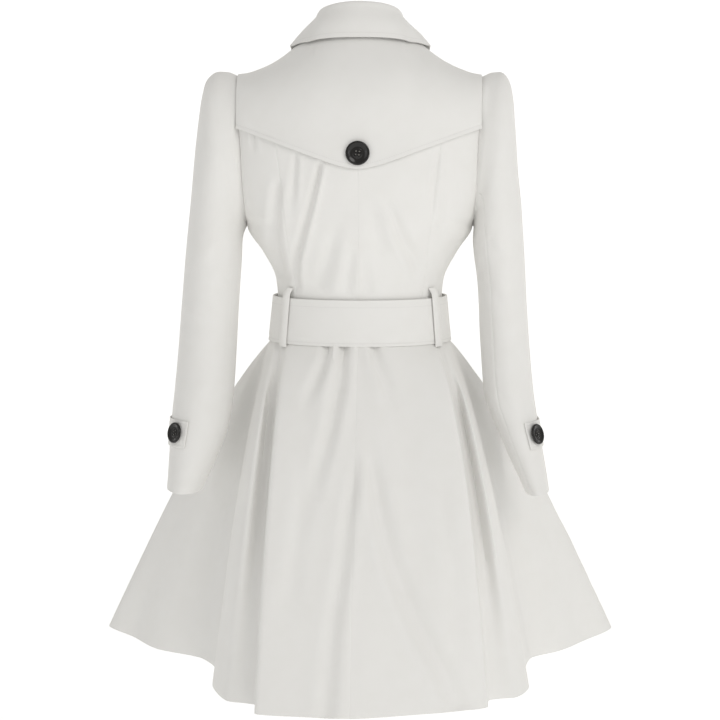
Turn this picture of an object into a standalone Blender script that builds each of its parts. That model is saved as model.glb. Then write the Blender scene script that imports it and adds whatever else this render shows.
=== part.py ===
# Fit and flare coat: princess-line bodice, puffed two-piece sleeves, storm flap, turned-down collar,
# belt in two loops and a flared skirt with deep pleats at the side back.
# Frame: +Z up, the back faces +Y, the wearer's left is +X, the origin is the level of the neck point.
# All sizes are in millimetres and become metres when a mesh is made.

import math
from collections import namedtuple
from functools import partial

import bmesh
import bpy
import numpy as np
from mathutils import Matrix, Vector

MM = 0.001

# Cloth and seams
CLOTH = 2.0                 # wall of the wool cloth
SEAM_GAP = 0.3              # clear width between two pieces sewn edge to edge
LAY_GAP = 0.4               # clear height under a piece that lies on a panel
LAP_GAP = 0.8               # clear height between the lapped fronts
BELT_CLOTH = 3.0            # belt, doubled and stiffened

# Bodice: level sections from the waist seam to the across-back line.
# edge_x is the side seam or armhole edge, *_edge its distance behind or before the shoulder line,
# *_depth the reach at the centre, *_turn how far the section has turned at its edge, in degrees.
Level = namedtuple("Level", "z edge_x back_edge back_depth back_turn front_edge front_depth front_turn")
LEVELS = [
    Level(-390, 124.0, 0, 81, 90, 0, 92, 90),
    Level(-360, 121.0, 0, 82, 90, 0, 93, 90),
    Level(-334, 123.5, 0, 86, 90, 0, 97, 90),
    Level(-293, 143.0, 0, 95, 90, 0, 110, 90),
    Level(-257, 165.0, 0, 105, 90, 0, 122, 90),
    Level(-240, 166.5, 32, 109, 78, 34, 126, 80),
    Level(-215, 168.0, 48, 112, 70, 50, 130, 74),
    Level(-180, 170.0, 56, 116, 64, 56, 130, 70),
    Level(-145, 171.5, 58, 117, 62, 54, 124, 66),
    Level(-110, 173.5, 56, 116, 62, 46, 112, 62),
]
WAIST_Z = LEVELS[0].z
UNDERARM_Z = -257
YOKE_Z = LEVELS[-1].z       # above this the cloth turns over the shoulder
YOKE_RISE = 110             # height coordinate used up between YOKE_Z and the shoulder seam
YOKE_PULL = 0.45            # how full the turn over the shoulder is

# Shoulder seam and neckline
TIP_X = 177                 # shoulder tip, the top of the armhole
NECK_X = 70                 # neck point, half the width of the neckline
NECK_Z = 27
NECK_BACK = 62
NECK_FRONT = 76
NECK_DROP = 52              # fall of the front neckline below the neck point
NECK_SHAPE = 1.5            # above 1 keeps the front neckline high near the neck point
Shoulder = namedtuple("Shoulder", "x z y")
SHOULDER = [
    Shoulder(70, 27, 0),
    Shoulder(84, 11, 0),
    Shoulder(99, -5, -1),
    Shoulder(114, -17, -2),
    Shoulder(137, -30, -3),
    Shoulder(160, -37, -4),
    Shoulder(177, -39, -4),
]
TopSlope = namedtuple("TopSlope", "x slope")     # climb of the cloth where it meets the top seam, degrees
TOP_SLOPES = [TopSlope(0, 66), TopSlope(45, 48), TopSlope(70, 28), TopSlope(112, 0), TopSlope(180, 0)]

# Princess seam of the back, its distance from the centre back
Princess = namedtuple("Princess", "height x")
PRINCESS = [
    Princess(-390, 86),
    Princess(-316, 96),
    Princess(-245, 104.5),
    Princess(-132, 117),
    Princess(0, 131),
]
BODICE_ROWS = (-390, -358, -328, -293, -257, -240, -215, -180, -145, -110, -84, -57, -28, -0.2)
CENTRE_COLUMNS = 8          # grid columns of a centre back, a side back and a front
SIDE_COLUMNS = 6
FRONT_COLUMNS = 12
FRONT_LAP = 32              # each front runs this far past the centre front
LAP_START = 62              # from here to LAP_FULL the under front sinks below the over front
LAP_FULL = 36

# Sleeve rings below the armhole: outer and inner edge as seen from behind, reach front to back
Ring = namedtuple("Ring", "outer_z inner_z mid_y half_depth left_outer left_inner right_outer right_inner")
RINGS = [
    Ring(-34, -258, 1, 61, 189, 166, 189, 165.8),
    Ring(-33, -260, 2, 63, 205, 167, 203, 165.8),
    Ring(-45, -263, 3, 65, 222, 168.5, 215, 165.6),
    Ring(-71, -267, 4, 66, 229.5, 170, 221.5, 165.2),
    Ring(-120, -272, 5, 66.5, 236, 171.5, 226, 164.8),
    Ring(-175, -280, 7, 66, 242, 172.5, 230, 164.8),
    Ring(-240, -298, 9, 64, 249, 173, 236.5, 166.5),
    Ring(-315, -332, 13, 61, 256, 174.5, 240.5, 171),
    Ring(-428, -428, 30, 56, 264, 179, 248, 177),
    Ring(-493, -493, 48, 53, 268.5, 182.5, 253.5, 181.5),
    Ring(-536, -538, 60, 51, 272, 188.5, 260, 197),
    Ring(-586, -588, 70, 51, 275.2, 206, 268, 219),
    Ring(-630, -634, 79, 52, 278, 227, 275, 241),
]
SLEEVE_ROWS = (0, 0.5, 1, 2, 3, 4, 5, 6, 7.5, 9, 10, 11, 12, 13)     # ring numbers, 0 is the armhole
SLEEVE_TOP_COLUMNS = 11
SLEEVE_UNDER_COLUMNS = 5
SLEEVE_GAP = 0.4            # clear width at the armhole seam
BACK_SLEEVE_SEAM = {"left": 40, "right": 58}      # degrees round the ring from the inner edge
FRONT_SLEEVE_SEAM = 310

# Skirt: one row for each fold, from the centre back round to the front lap.
# turn is its place on the waist in degrees from the centre back, hem_* its place at the hem,
# rise how much higher the hem is there, bell below 1 spreads the fold soon after the waist,
# puff how far a pleat swells to the back at mid height.
Fold = namedtuple("Fold", "name turn hem_x hem_y rise bell puff", defaults=(0,))
LEFT_FOLDS = [
    Fold("back", 24, 70, 275, 0, 0.70),
    Fold("ridge_a", 51, 139, 261, 0, 0.50),
    Fold("inside_a", 55, 138, 224, 0, 0.54),
    Fold("pleat_floor", 60, 156, 212, 0, 0.58),
    Fold("pleat", 66, 180, 204, 0, 0.61, 20),
    Fold("ridge_b", 76, 211, 117, 0, 0.64, 14),
    Fold("inside_b", 81, 211, 62, 2, 0.66),
    Fold("valley", 86, 236, 4, 5, 0.70),
    Fold("side", 90, 312, -36, 10, 0.75),
    Fold("side_out", 95, 354, -74, 17, 0.77),
    Fold("silhouette", 101, 396, -117, 25, 0.77),
    Fold("front_turn", 109, 392, -184, 25, 0.77),
    Fold("front_side", 120, 326, -236, 15, 0.76),
    Fold("front_valley", 130, 262, -248, 8, 0.74),
    Fold("front_ridge", 142, 200, -304, 2, 0.72),
    Fold("front", 160, 95, -318, 0, 0.75),
    Fold("centre_front", 180, 0, -320, 0, 0.75),
    Fold("front_lap", 194, -62, -319, 0, 0.75),
]
RIGHT_FOLDS = [
    Fold("back", 24, 80, 261, 0, 0.74),
    Fold("ridge_a", 54, 184, 220, 0, 0.36),
    Fold("inside_a", 58, 187, 190, 0, 0.40),
    Fold("pleat_floor", 62, 203, 180, 0, 0.47),
    Fold("pleat", 67, 225, 174, 0, 0.50, 24),
    Fold("ridge_b", 77, 248, 117, 0, 0.62, 16),
    Fold("inside_b", 82, 246, 55, 2, 0.69),
    Fold("valley", 87, 256, -10, 5, 0.71),
    Fold("side", 91, 306, -48, 9, 0.75),
    Fold("side_out", 95, 346, -82, 15, 0.77),
    Fold("silhouette", 101, 388, -127, 25, 0.77),
    Fold("front_turn", 109, 386, -188, 25, 0.77),
    Fold("front_side", 120, 326, -236, 15, 0.76),
    Fold("front_valley", 130, 262, -248, 8, 0.74),
    Fold("front_ridge", 142, 200, -304, 2, 0.72),
    Fold("front", 160, 95, -318, 0, 0.75),
    Fold("centre_front", 180, 0, -320, 0, 0.75),
    Fold("front_lap", 194, -62, -319, 0, 0.75),
]
CENTRE_BACK = Fold("centre_back", 0, 7, 281, 0, 0.78)
HEM_Z = -914
HIP_Z = -424                # lower edge of the belt, where the flare starts
HIP_X = 131.5
HIP_BACK = 90
HIP_FRONT = 104
FLARE_EASE = 0.03           # softens the start of the flare
PUFF_GROWS = (0.03, 0.22)   # shares of the skirt's length in which a swelling starts and ends
PUFF_FADES = (0.45, 0.95)
SKIRT_ROWS = (0.0, 0.04, 0.12, 0.24, 0.42, 0.62, 0.82, 1.0)
FOLD_COLUMNS = 2            # grid columns between two folds

# Collar
STAND_CLOTH = 2.2
STAND_GAP = 0.9             # clear height between the neck seam's edges
FOLD_X = 60                 # fold line, half its width
FOLD_BACK = 54
FOLD_FRONT = 66
FOLD_BACK_Z = 62
FOLD_SIDE_Z = 42
FOLD_FRONT_Z = 4
FOLD_BACK_SHAPE = 0.75      # below 1 keeps the fold high across the back
FALL_EDGE_X = 98            # lower edge of the fall at the shoulder
FALL_BACK_Z = 11            # level of the panel under the edge, at the back, shoulder and front end
FALL_SIDE_Z = -5
FALL_POINT_Z = -66
FALL_SHAPE = 1.3            # how soon the edge drops from the shoulder to the back and the front
FALL_SPREAD = 0.6           # below 1 keeps the fall wide towards its front ends
FALL_LIFT = 8.0             # outer face of the fall's edge above the panel under it
FALL_BULGE = 2.5            # rounding of the fall between its fold and its edge
COLLAR_END = 174            # degrees from the centre back to the collar's front ends
COLLAR_COLUMNS = 36
STAND_ROWS = (0, 1)
FALL_ROWS = (0, 1, 2, 3, 4, 5)
RollPoint = namedtuple("RollPoint", "out up")     # the fold over the top of the stand
ROLL = [RollPoint(-2.4, 2.8), RollPoint(0.2, 4.0), RollPoint(3.0, 2.8), RollPoint(5.2, -3.0)]

# Storm flap on the upper back
FLAP_POINT_Z = -175
FLAP_END_Z = -114
FLAP_END_X = 172
FLAP_SHORT = 0.12           # columns by which the flap stops short of the armhole
FLAP_GAP = 0.8              # clear height under the flap
FLAP_ROWS = (-5, -28, -57, -84, -110)      # heights from its top edge to the yoke line
FLAP_EDGE_ROWS = 2          # further rows down to its pointed edge

# Belt and loops
BELT_TOP_Z = -358
BELT_TOP_X = 125
BELT_TOP_BACK = 84
BELT_TOP_FRONT = 97
BELT_START = -186           # degrees from the centre back to the under end and the over end
BELT_END = 202
BELT_COLUMNS = 48
BELT_STEP = 3.6             # the over end lies this far outside the under end
BELT_STEP_START = 148       # degrees between which the belt steps out
BELT_STEP_FULL = 168
LOOP_WIDTH = 14
LOOP_GAP = 0.9              # clear height under both ends of a loop
LOOP_TOP_Z = -344
LOOP_FOOT_Z = -428
LOOP_HUMP = 5               # rise of a loop over the belt's top edge
LoopPoint = namedtuple("LoopPoint", "down out up")     # places over the belt, from its top to its foot
LOOP_PATH = [LoopPoint(0, 0, LOOP_HUMP), LoopPoint(0.12, 0.8, 0), LoopPoint(0.5, 0.8, 0),
             LoopPoint(0.95, 0.4, 0)]
LOOP_ROWS = (0, 0.5, 1, 1.5, 2, 3, 4, 4.5, 5)
LOOP_COLUMNS = 3
Loop = namedtuple("Loop", "name turn")
LOOPS = [Loop("left", 54), Loop("right", -58)]

# Cuff tabs: from back_edge round the outside to front_edge, in degrees round the sleeve ring
TAB_TOP_RING = 10.87
TAB_LOW_RING = 11.64
TAB_BACK_EDGE = 107
TAB_FRONT_EDGE = 236
TAB_COLUMNS = 12
TAB_ROWS = 2
TAB_GAP = 0.8               # clear height under a tab

# Buttons: turned discs with a raised rim and four thread holes
BUTTON_HIGH = 5.0
BUTTON_SIDES = 24
HOLE_SIDES = 6
BUTTON_DISH = 1.4           # depth of the middle below the rim
BUTTON_FOOT = 1.2           # rounding of the lower edge
BUTTON_EDGE = 1.4           # rounding of the upper edge
RIM_INSIDE = 3.2            # from the edge to the inside of the flat rim, then to the dish
DISH_INSIDE = 4.8
HOLE_RADIUS = 1.4
HOLE_CIRCLE = 3.4
FLAP_BUTTON = 34
CUFF_BUTTON = 30
FLAP_BUTTON_Z = -147
CUFF_BUTTON_RING = 11.25
CUFF_BUTTON_TURN = 132
FRONT_BUTTON_Z = (-75, -180, -285)

WOOL_COLOUR = (0.80, 0.79, 0.75, 1.0)
BUTTON_COLOUR = (0.012, 0.010, 0.009, 1.0)


# Curves and tables

def column(rows, name):
    return [getattr(row, name) for row in rows]


def smooth(xs, ys, at):
    # a cubic curve through the rows that doesn't swing past them
    step = np.diff(xs)
    rise = np.diff(ys) / step
    slope = np.zeros(len(xs))
    slope[0] = rise[0]
    slope[-1] = rise[-1]
    for k in range(1, len(xs) - 1):
        if rise[k - 1] * rise[k] > 0:
            slope[k] = 2 * rise[k - 1] * rise[k] / (rise[k - 1] + rise[k])
    at = min(max(at, xs[0]), xs[-1])
    k = min(max(int(np.searchsorted(xs, at)) - 1, 0), len(step) - 1)
    t = (at - xs[k]) / step[k]
    start = ys[k] * (1 + 2 * t) * (1 - t) ** 2 + step[k] * slope[k] * t * (1 - t) ** 2
    end = ys[k + 1] * t * t * (3 - 2 * t) + step[k] * slope[k + 1] * t * t * (t - 1)
    return start + end


def ease(low, high, at):
    # 0 below low, 1 above high, with a soft start and end
    t = min(max((at - low) / (high - low), 0), 1)
    return t * t * (3 - 2 * t)


# Bodice surface

def level_at(z):
    keys = column(LEVELS, "z")
    return Level(z, *[smooth(keys, column(LEVELS, name), z) for name in Level._fields[1:]])


def top_seam(side, x):
    # neckline out to the neck point, then the shoulder seam
    away = abs(x)
    if away >= NECK_X:
        keys = column(SHOULDER, "x")
        y = smooth(keys, column(SHOULDER, "y"), away)
        return np.array([x, y, smooth(keys, column(SHOULDER, "z"), away)])
    root = math.sqrt(1 - (away / NECK_X) ** 2)
    if side == "back":
        return np.array([x, NECK_BACK * root, NECK_Z])
    return np.array([x, -NECK_FRONT * root, NECK_Z - NECK_DROP * root ** NECK_SHAPE])


def body_point(side, share, height):
    # share runs from 0 at the centre to 1 at the side seam or armhole edge
    level = level_at(min(height, YOKE_Z))
    facing = 1 if side == "back" else -1
    edge = level.back_edge if side == "back" else level.front_edge
    depth = level.back_depth if side == "back" else level.front_depth
    full = math.radians(level.back_turn if side == "back" else level.front_turn)
    across = math.sin(full * share) / math.sin(full)
    bulge = (math.cos(full * share) - math.cos(full)) / (1 - math.cos(full))
    low = np.array([level.edge_x * across, facing * (edge + (depth - edge) * bulge), level.z])
    if height <= YOKE_Z:
        return low
    top = top_seam(side, TIP_X * across)
    slope = math.radians(smooth(column(TOP_SLOPES, "x"), column(TOP_SLOPES, "slope"), abs(top[0])))
    reach = YOKE_PULL * np.linalg.norm(top - low)
    first = low + np.array([0, 0, reach])
    last = top - reach * np.array([0, -facing * math.cos(slope), math.sin(slope)])
    t = min((height - YOKE_Z) / YOKE_RISE, 1)
    return low * (1 - t) ** 3 + 3 * first * t * (1 - t) ** 2 + 3 * last * t * t * (1 - t) + top * t ** 3


def share_at(side, x, height):
    # the share at which the body is x from the centre
    level = level_at(min(height, YOKE_Z))
    full = math.radians(level.back_turn if side == "back" else level.front_turn)
    climb = max((height - YOKE_Z) / YOKE_RISE, 0)
    edge_x = level.edge_x + (TIP_X - level.edge_x) * climb
    return math.asin(x / edge_x * math.sin(full)) / full


def princess_share(height):
    return share_at("back", smooth(column(PRINCESS, "height"), column(PRINCESS, "x"), height), height)


# Sleeve surface

def armhole_edge():
    # both edges of the armhole from underarm to shoulder tip
    heights = np.linspace(UNDERARM_Z, 0, 120)
    back = [body_point("back", 1, height) for height in heights]
    front = [body_point("front", 1, height) for height in heights]
    return {"back": np.array(back), "front": np.array(front)}


ARMHOLE = armhole_edge()


def armhole_point(turn):
    edge = ARMHOLE["back" if math.sin(math.radians(turn)) >= 0 else "front"]
    low = edge[0, 2]
    high = edge[-1, 2]
    z = (low + high) / 2 - (high - low) / 2 * math.cos(math.radians(turn))
    return np.array([np.interp(z, edge[:, 2], edge[:, axis]) for axis in range(3)]) + [SLEEVE_GAP, 0, 0]


def ring_point(arm, turn, at):
    keys = list(range(1, len(RINGS) + 1))
    ring = Ring(*[smooth(keys, column(RINGS, name), at) for name in Ring._fields])
    outer_x = ring.left_outer if arm == "left" else ring.right_outer
    inner_x = ring.left_inner if arm == "left" else ring.right_inner
    outer = np.array([outer_x, ring.mid_y, ring.outer_z])
    inner = np.array([inner_x, ring.mid_y, ring.inner_z])
    angle = math.radians(turn)
    depth = np.array([0, ring.half_depth * math.sin(angle), 0])
    return (outer + inner) / 2 - (outer - inner) / 2 * math.cos(angle) + depth


def sleeve_point(arm, turn, at):
    # turn is 0 at the inner edge, 90 at the back and 180 outside; at is the ring number
    if at >= 1:
        return ring_point(arm, turn, at)
    return armhole_point(turn) * (1 - at) + ring_point(arm, turn, 1) * at


# Skirt surface

def all_folds():
    left = [fold._replace(name=fold.name + "_left") for fold in LEFT_FOLDS]
    right = [Fold(fold.name + "_right", -fold.turn, -fold.hem_x, *fold[3:]) for fold in RIGHT_FOLDS]
    return right[::-1] + [CENTRE_BACK] + left


FOLDS = all_folds()
FOLD_KEYS = list(range(len(FOLDS)))


def fold_number(name):
    return column(FOLDS, "name").index(name)


def waist_point(turn, drop):
    # the fitted band under the belt: drop is 0 at the waist seam and 1 at the belt's lower edge
    waist = LEVELS[0]
    angle = math.radians(turn)
    low = HIP_BACK if math.cos(angle) > 0 else HIP_FRONT
    high = waist.back_depth if math.cos(angle) > 0 else waist.front_depth
    x = waist.edge_x + (HIP_X - waist.edge_x) * drop
    y = high + (low - high) * drop
    return np.array([x * math.sin(angle), y * math.cos(angle), WAIST_Z + (HIP_Z - WAIST_Z) * drop])


def skirt_point(place, down):
    # place is the fold's number, down is -1 at the waist seam, 0 under the belt and 1 at the hem
    fold = Fold("", *[smooth(FOLD_KEYS, column(FOLDS, name), place) for name in Fold._fields[1:]])
    if down <= 0:
        return waist_point(fold.turn, 1 + down)
    start = waist_point(fold.turn, 1)
    ease_start = FLARE_EASE ** fold.bell
    flare = ((down + FLARE_EASE) ** fold.bell - ease_start) / ((1 + FLARE_EASE) ** fold.bell - ease_start)
    end = np.array([fold.hem_x, fold.hem_y, HEM_Z + fold.rise])
    swell = fold.puff * ease(*PUFF_GROWS, down) * (1 - ease(*PUFF_FADES, down))
    return start + (end - start) * np.array([flare, flare, down]) + np.array([0, swell, 0])


# Grids of points on a surface, with outward normals

def normal_at(surface, u, v, steps, facing):
    du, dv = steps
    along = surface(u + du, v) - surface(u - du, v)
    down = surface(u, v + dv) - surface(u, v - dv)
    normal = np.cross(along, down) * facing
    return normal / np.linalg.norm(normal)


def seam_step(surface, u, v, steps):
    # half a seam's gap, in the surface's own measure
    along = surface(u + steps[0], v) - surface(u - steps[0], v)
    return SEAM_GAP / 2 * 2 * steps[0] / np.linalg.norm(along)


def panel_grid(surface, edges, rows, columns, steps, facing):
    # edges gives the first and last u of each row
    points = np.zeros((len(rows), columns + 1, 3))
    normals = np.zeros_like(points)
    for i, v in enumerate(rows):
        first, last = edges(v)
        first = first + seam_step(surface, first, v, steps)
        last = last - seam_step(surface, last, v, steps)
        for j, u in enumerate(np.linspace(first, last, columns + 1)):
            points[i, j] = surface(u, v)
            normals[i, j] = normal_at(surface, u, v, steps, facing)
    return points, normals


def flat_normals(normals, axis):
    # normals turned square to one axis, so that a seam's edge is square to it too
    flat = normals.copy()
    flat[:, :, axis] = 0
    return flat / np.linalg.norm(flat, axis=2, keepdims=True)


def mirrored(grid, sign):
    return grid * np.array([sign, 1, 1])


# Meshes

def make_material(name, colour, roughness):
    material = bpy.data.materials.new(name)
    material.use_nodes = True
    shader = material.node_tree.nodes["Principled BSDF"]
    shader.inputs["Base Color"].default_value = colour
    shader.inputs["Roughness"].default_value = roughness
    return material


def add_piece(name, mesh, material, matrix=None):
    piece = bpy.data.objects.new(name, mesh)
    piece.data.materials.clear()
    piece.data.materials.append(material)
    bpy.context.collection.objects.link(piece)
    if matrix is not None:
        piece.matrix_world = matrix
    return piece


def cloth_piece(name, outer, inner, material):
    # a closed wall between two grids of points
    rows, columns = outer.shape[:2]
    layer = rows * columns
    shape = bmesh.new()
    points = np.concatenate([outer.reshape(-1, 3), inner.reshape(-1, 3)]) * MM
    verts = [shape.verts.new(point) for point in points]
    for i in range(rows - 1):
        for j in range(columns - 1):
            corner = i * columns + j
            quad = [corner, corner + columns, corner + columns + 1, corner + 1]
            shape.faces.new([verts[k] for k in quad])
            shape.faces.new([verts[k + layer] for k in reversed(quad)])
    rim = list(range(columns))
    rim += [i * columns + columns - 1 for i in range(1, rows)]
    rim += [(rows - 1) * columns + j for j in range(columns - 2, -1, -1)]
    rim += [i * columns for i in range(rows - 2, 0, -1)]
    for a, b in zip(rim, rim[1:] + rim[:1]):
        shape.faces.new([verts[a], verts[b], verts[b + layer], verts[a + layer]])
    bmesh.ops.recalc_face_normals(shape, faces=shape.faces)
    mesh = bpy.data.meshes.new(name)
    shape.to_mesh(mesh)
    shape.free()
    mesh.shade_smooth()
    mesh.set_sharp_from_angle(angle=math.radians(40))
    return add_piece(name, mesh, material)


def button_template(name, diameter, material):
    # a turned disc with a raised rim, drilled with four thread holes
    radius = diameter / 2
    profile = [(radius - BUTTON_FOOT, 0), (radius, BUTTON_FOOT), (radius, BUTTON_HIGH - BUTTON_EDGE),
               (radius - BUTTON_EDGE, BUTTON_HIGH), (radius - RIM_INSIDE, BUTTON_HIGH),
               (radius - DISH_INSIDE, BUTTON_HIGH - BUTTON_DISH)]
    shape = bmesh.new()
    rings = []
    for r, z in profile:
        ring = []
        for k in range(BUTTON_SIDES):
            angle = 2 * math.pi * k / BUTTON_SIDES
            ring.append(shape.verts.new(Vector((r * math.cos(angle), r * math.sin(angle), z)) * MM))
        rings.append(ring)
    for low, high in zip(rings, rings[1:]):
        for k in range(BUTTON_SIDES):
            after = (k + 1) % BUTTON_SIDES
            shape.faces.new([low[k], low[after], high[after], high[k]])
    shape.faces.new(list(reversed(rings[0])))
    shape.faces.new(rings[-1])
    mesh = bpy.data.meshes.new(name)
    shape.to_mesh(mesh)
    shape.free()
    drills = bmesh.new()
    for k in range(4):
        angle = math.pi / 4 + k * math.pi / 2
        place = Matrix.Translation(Vector((math.cos(angle), math.sin(angle), 0)) * HOLE_CIRCLE * MM)
        bmesh.ops.create_cone(drills, cap_ends=True, segments=HOLE_SIDES, radius1=HOLE_RADIUS * MM,
                              radius2=HOLE_RADIUS * MM, depth=4 * BUTTON_HIGH * MM, matrix=place)
    drill_mesh = bpy.data.meshes.new(name + "_drills")
    drills.to_mesh(drill_mesh)
    drills.free()
    guides = [add_piece(name + "_blank", mesh, material), add_piece(name + "_drills", drill_mesh, material)]
    for guide in guides:
        guide.hide_render = True
        guide.display_type = "WIRE"
    cut = guides[0].modifiers.new("holes", "BOOLEAN")
    cut.operation = "DIFFERENCE"
    cut.object = guides[1]
    bpy.context.view_layer.update()
    state = bpy.context.evaluated_depsgraph_get()
    drilled = bpy.data.meshes.new_from_object(guides[0].evaluated_get(state))
    drilled.set_sharp_from_angle(angle=math.radians(30))
    return drilled


def place_button(name, mesh, material, point, normal):
    seat = Vector(point * MM) + Vector(normal) * LAY_GAP * MM
    turn = Vector(normal).to_track_quat("Z", "X").to_matrix().to_4x4()
    add_piece(name, mesh, material, Matrix.Translation(seat) @ turn)


# Bodice

BODY_STEPS = (0.002, 0.5)
SIDES = (("left", 1), ("right", -1))


def back_surface(share, height):
    return body_point("back", share, height)


def front_surface(share, height):
    return body_point("front", share, height)


def lap_drop(points, normals):
    # the under front sinks below the over front where they lap
    sink = np.vectorize(lambda x: 1.0 - ease(LAP_FULL, LAP_START, x))(points[:, :, :1])
    return points - normals * sink * (CLOTH + LAP_GAP)


def make_bodice(wool):
    panels = [
        ("back_centre", back_surface, lambda h: (0, princess_share(h)), CENTRE_COLUMNS, -1),
        ("back_side", back_surface, lambda h: (princess_share(h), 1), SIDE_COLUMNS, -1),
        ("front", front_surface, lambda h: (-share_at("front", FRONT_LAP, h), 1), FRONT_COLUMNS, 1),
    ]
    for label, surface, edges, columns, facing in panels:
        points, normals = panel_grid(surface, edges, BODICE_ROWS, columns, BODY_STEPS, facing)
        for side, sign in SIDES:
            outer = lap_drop(points, normals) if label == "front" and side == "left" else points
            inner = outer - normals * CLOTH
            cloth_piece(f"{label}_{side}", mirrored(outer, sign), mirrored(inner, sign), wool)


# Sleeves and cuff tabs

SLEEVE_STEPS = (1.0, 0.05)


def make_sleeves(wool):
    for arm, sign in SIDES:
        parts = [
            ("sleeve_top", BACK_SLEEVE_SEAM[arm], FRONT_SLEEVE_SEAM, SLEEVE_TOP_COLUMNS),
            ("sleeve_under", FRONT_SLEEVE_SEAM - 360, BACK_SLEEVE_SEAM[arm], SLEEVE_UNDER_COLUMNS),
        ]
        for label, first, last, columns in parts:
            points, normals = panel_grid(partial(sleeve_point, arm), lambda at: (first, last), SLEEVE_ROWS,
                                         columns, SLEEVE_STEPS, 1)
            normals[:1] = flat_normals(normals[:1], 0)
            inner = points - normals * CLOTH
            cloth_piece(f"{label}_{arm}", mirrored(points, sign), mirrored(inner, sign), wool)


def make_cuff_tabs(wool, black, button):
    rows = np.linspace(TAB_TOP_RING, TAB_LOW_RING, TAB_ROWS + 1)
    for arm, sign in SIDES:
        surface = partial(sleeve_point, arm)
        points, normals = panel_grid(surface, lambda at: (TAB_BACK_EDGE, TAB_FRONT_EDGE), rows, TAB_COLUMNS,
                                     SLEEVE_STEPS, 1)
        inner = points + normals * TAB_GAP
        outer = inner + normals * CLOTH
        cloth_piece(f"cuff_tab_{arm}", mirrored(outer, sign), mirrored(inner, sign), wool)
        normal = normal_at(surface, CUFF_BUTTON_TURN, CUFF_BUTTON_RING, SLEEVE_STEPS, 1)
        seat = surface(CUFF_BUTTON_TURN, CUFF_BUTTON_RING) + normal * (TAB_GAP + CLOTH)
        place_button(f"cuff_button_{arm}", button, black, mirrored(seat, sign), mirrored(normal, sign))


# Skirt

SKIRT_STEPS = (0.02, 0.004)
WAIST_TRIM = -0.988         # the skirt's top edge, just below the waist seam


def front_lap_drop(place):
    return (CLOTH + LAP_GAP) * ease(fold_number("front_left") - 0.6, fold_number("front_left"), place)


def make_skirt(wool):
    panels = [
        ("skirt_front_right", "front_lap_right", "front_turn_right"),
        ("skirt_side_right", "front_turn_right", "inside_b_right"),
        ("skirt_pleat_right", "inside_b_right", "inside_a_right"),
        ("skirt_back_right", "inside_a_right", "centre_back"),
        ("skirt_back_left", "centre_back", "inside_a_left"),
        ("skirt_pleat_left", "inside_a_left", "inside_b_left"),
        ("skirt_side_left", "inside_b_left", "front_turn_left"),
        ("skirt_front_left", "front_turn_left", "front_lap_left"),
    ]
    rows = (WAIST_TRIM,) + SKIRT_ROWS
    for name, first, last in panels:
        first = fold_number(first)
        last = fold_number(last)
        columns = FOLD_COLUMNS * (last - first)
        points, normals = panel_grid(skirt_point, lambda down: (first, last), rows, columns, SKIRT_STEPS, 1)
        if name == "skirt_front_left":
            drop = np.array([front_lap_drop(place) for place in np.linspace(first, last, columns + 1)])
            points = points - normals * drop[None, :, None]
        cloth_piece(name, points, points - normals * CLOTH, wool)


# Collar

COLLAR_STEPS = (1.0, 0.02)


def cosine_split(turn, back, front):
    # the sine, the signed reach and the size of the cosine round an oval ring
    angle = math.radians(turn)
    across = math.cos(angle)
    return math.sin(angle), (back if across > 0 else front) * across, abs(across)


def neck_ring(turn):
    x, y, size = cosine_split(turn, NECK_BACK, NECK_FRONT)
    drop = 0 if y > 0 else NECK_DROP * size ** NECK_SHAPE
    return np.array([NECK_X * x, y, NECK_Z - drop])


def fold_ring(turn):
    x, y, size = cosine_split(turn, FOLD_BACK, FOLD_FRONT)
    rise = (FOLD_BACK_Z if y > 0 else FOLD_FRONT_Z) - FOLD_SIDE_Z
    return np.array([FOLD_X * x, y, FOLD_SIDE_Z + rise * size ** (FOLD_BACK_SHAPE if y > 0 else NECK_SHAPE)])


def stand_surface(turn, down):
    low = neck_ring(turn) + [0, 0, STAND_GAP]
    return fold_ring(turn) * (1 - down) + low * down


def height_on(side, share, z):
    # the height coordinate at which the panel reaches level z
    low = YOKE_Z
    high = 0.0
    for _ in range(40):
        middle = (low + high) / 2
        if body_point(side, share, middle)[2] < z:
            low = middle
        else:
            high = middle
    return low


def fall_edge(turn):
    # the fall's lower edge, made from the panel under it and moved out
    x, y, size = cosine_split(turn, 1, 1)
    side = "back" if y > 0 else "front"
    spread = x if y > 0 else math.copysign(abs(x) ** FALL_SPREAD, x)
    drop = FALL_BACK_Z - FALL_SIDE_Z if y > 0 else FALL_POINT_Z - FALL_SIDE_Z
    share = share_at(side, FALL_EDGE_X * spread, 0)
    height = height_on(side, share, FALL_SIDE_Z + drop * size ** FALL_SHAPE)
    surface = back_surface if y > 0 else front_surface
    normal = normal_at(surface, share, height - 1, BODY_STEPS, -1 if y > 0 else 1)
    return surface(share, height) + normal * FALL_LIFT


def fall_keys(turn):
    fold = fold_ring(turn)
    out = np.array([fold[0] / FOLD_X ** 2, fold[1] / (FOLD_BACK if fold[1] > 0 else FOLD_FRONT) ** 2, 0])
    out = out / np.linalg.norm(out)
    keys = [fold + out * roll.out + np.array([0, 0, roll.up]) for roll in ROLL]
    edge = fall_edge(turn)
    keys.append((keys[-1] + edge) / 2 + out * FALL_BULGE)
    keys.append(edge)
    return np.array(keys)


def fall_surface(turn, down):
    keys = fall_keys(turn)
    return np.array([smooth(list(range(len(keys))), keys[:, axis], down) for axis in range(3)])


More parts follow.
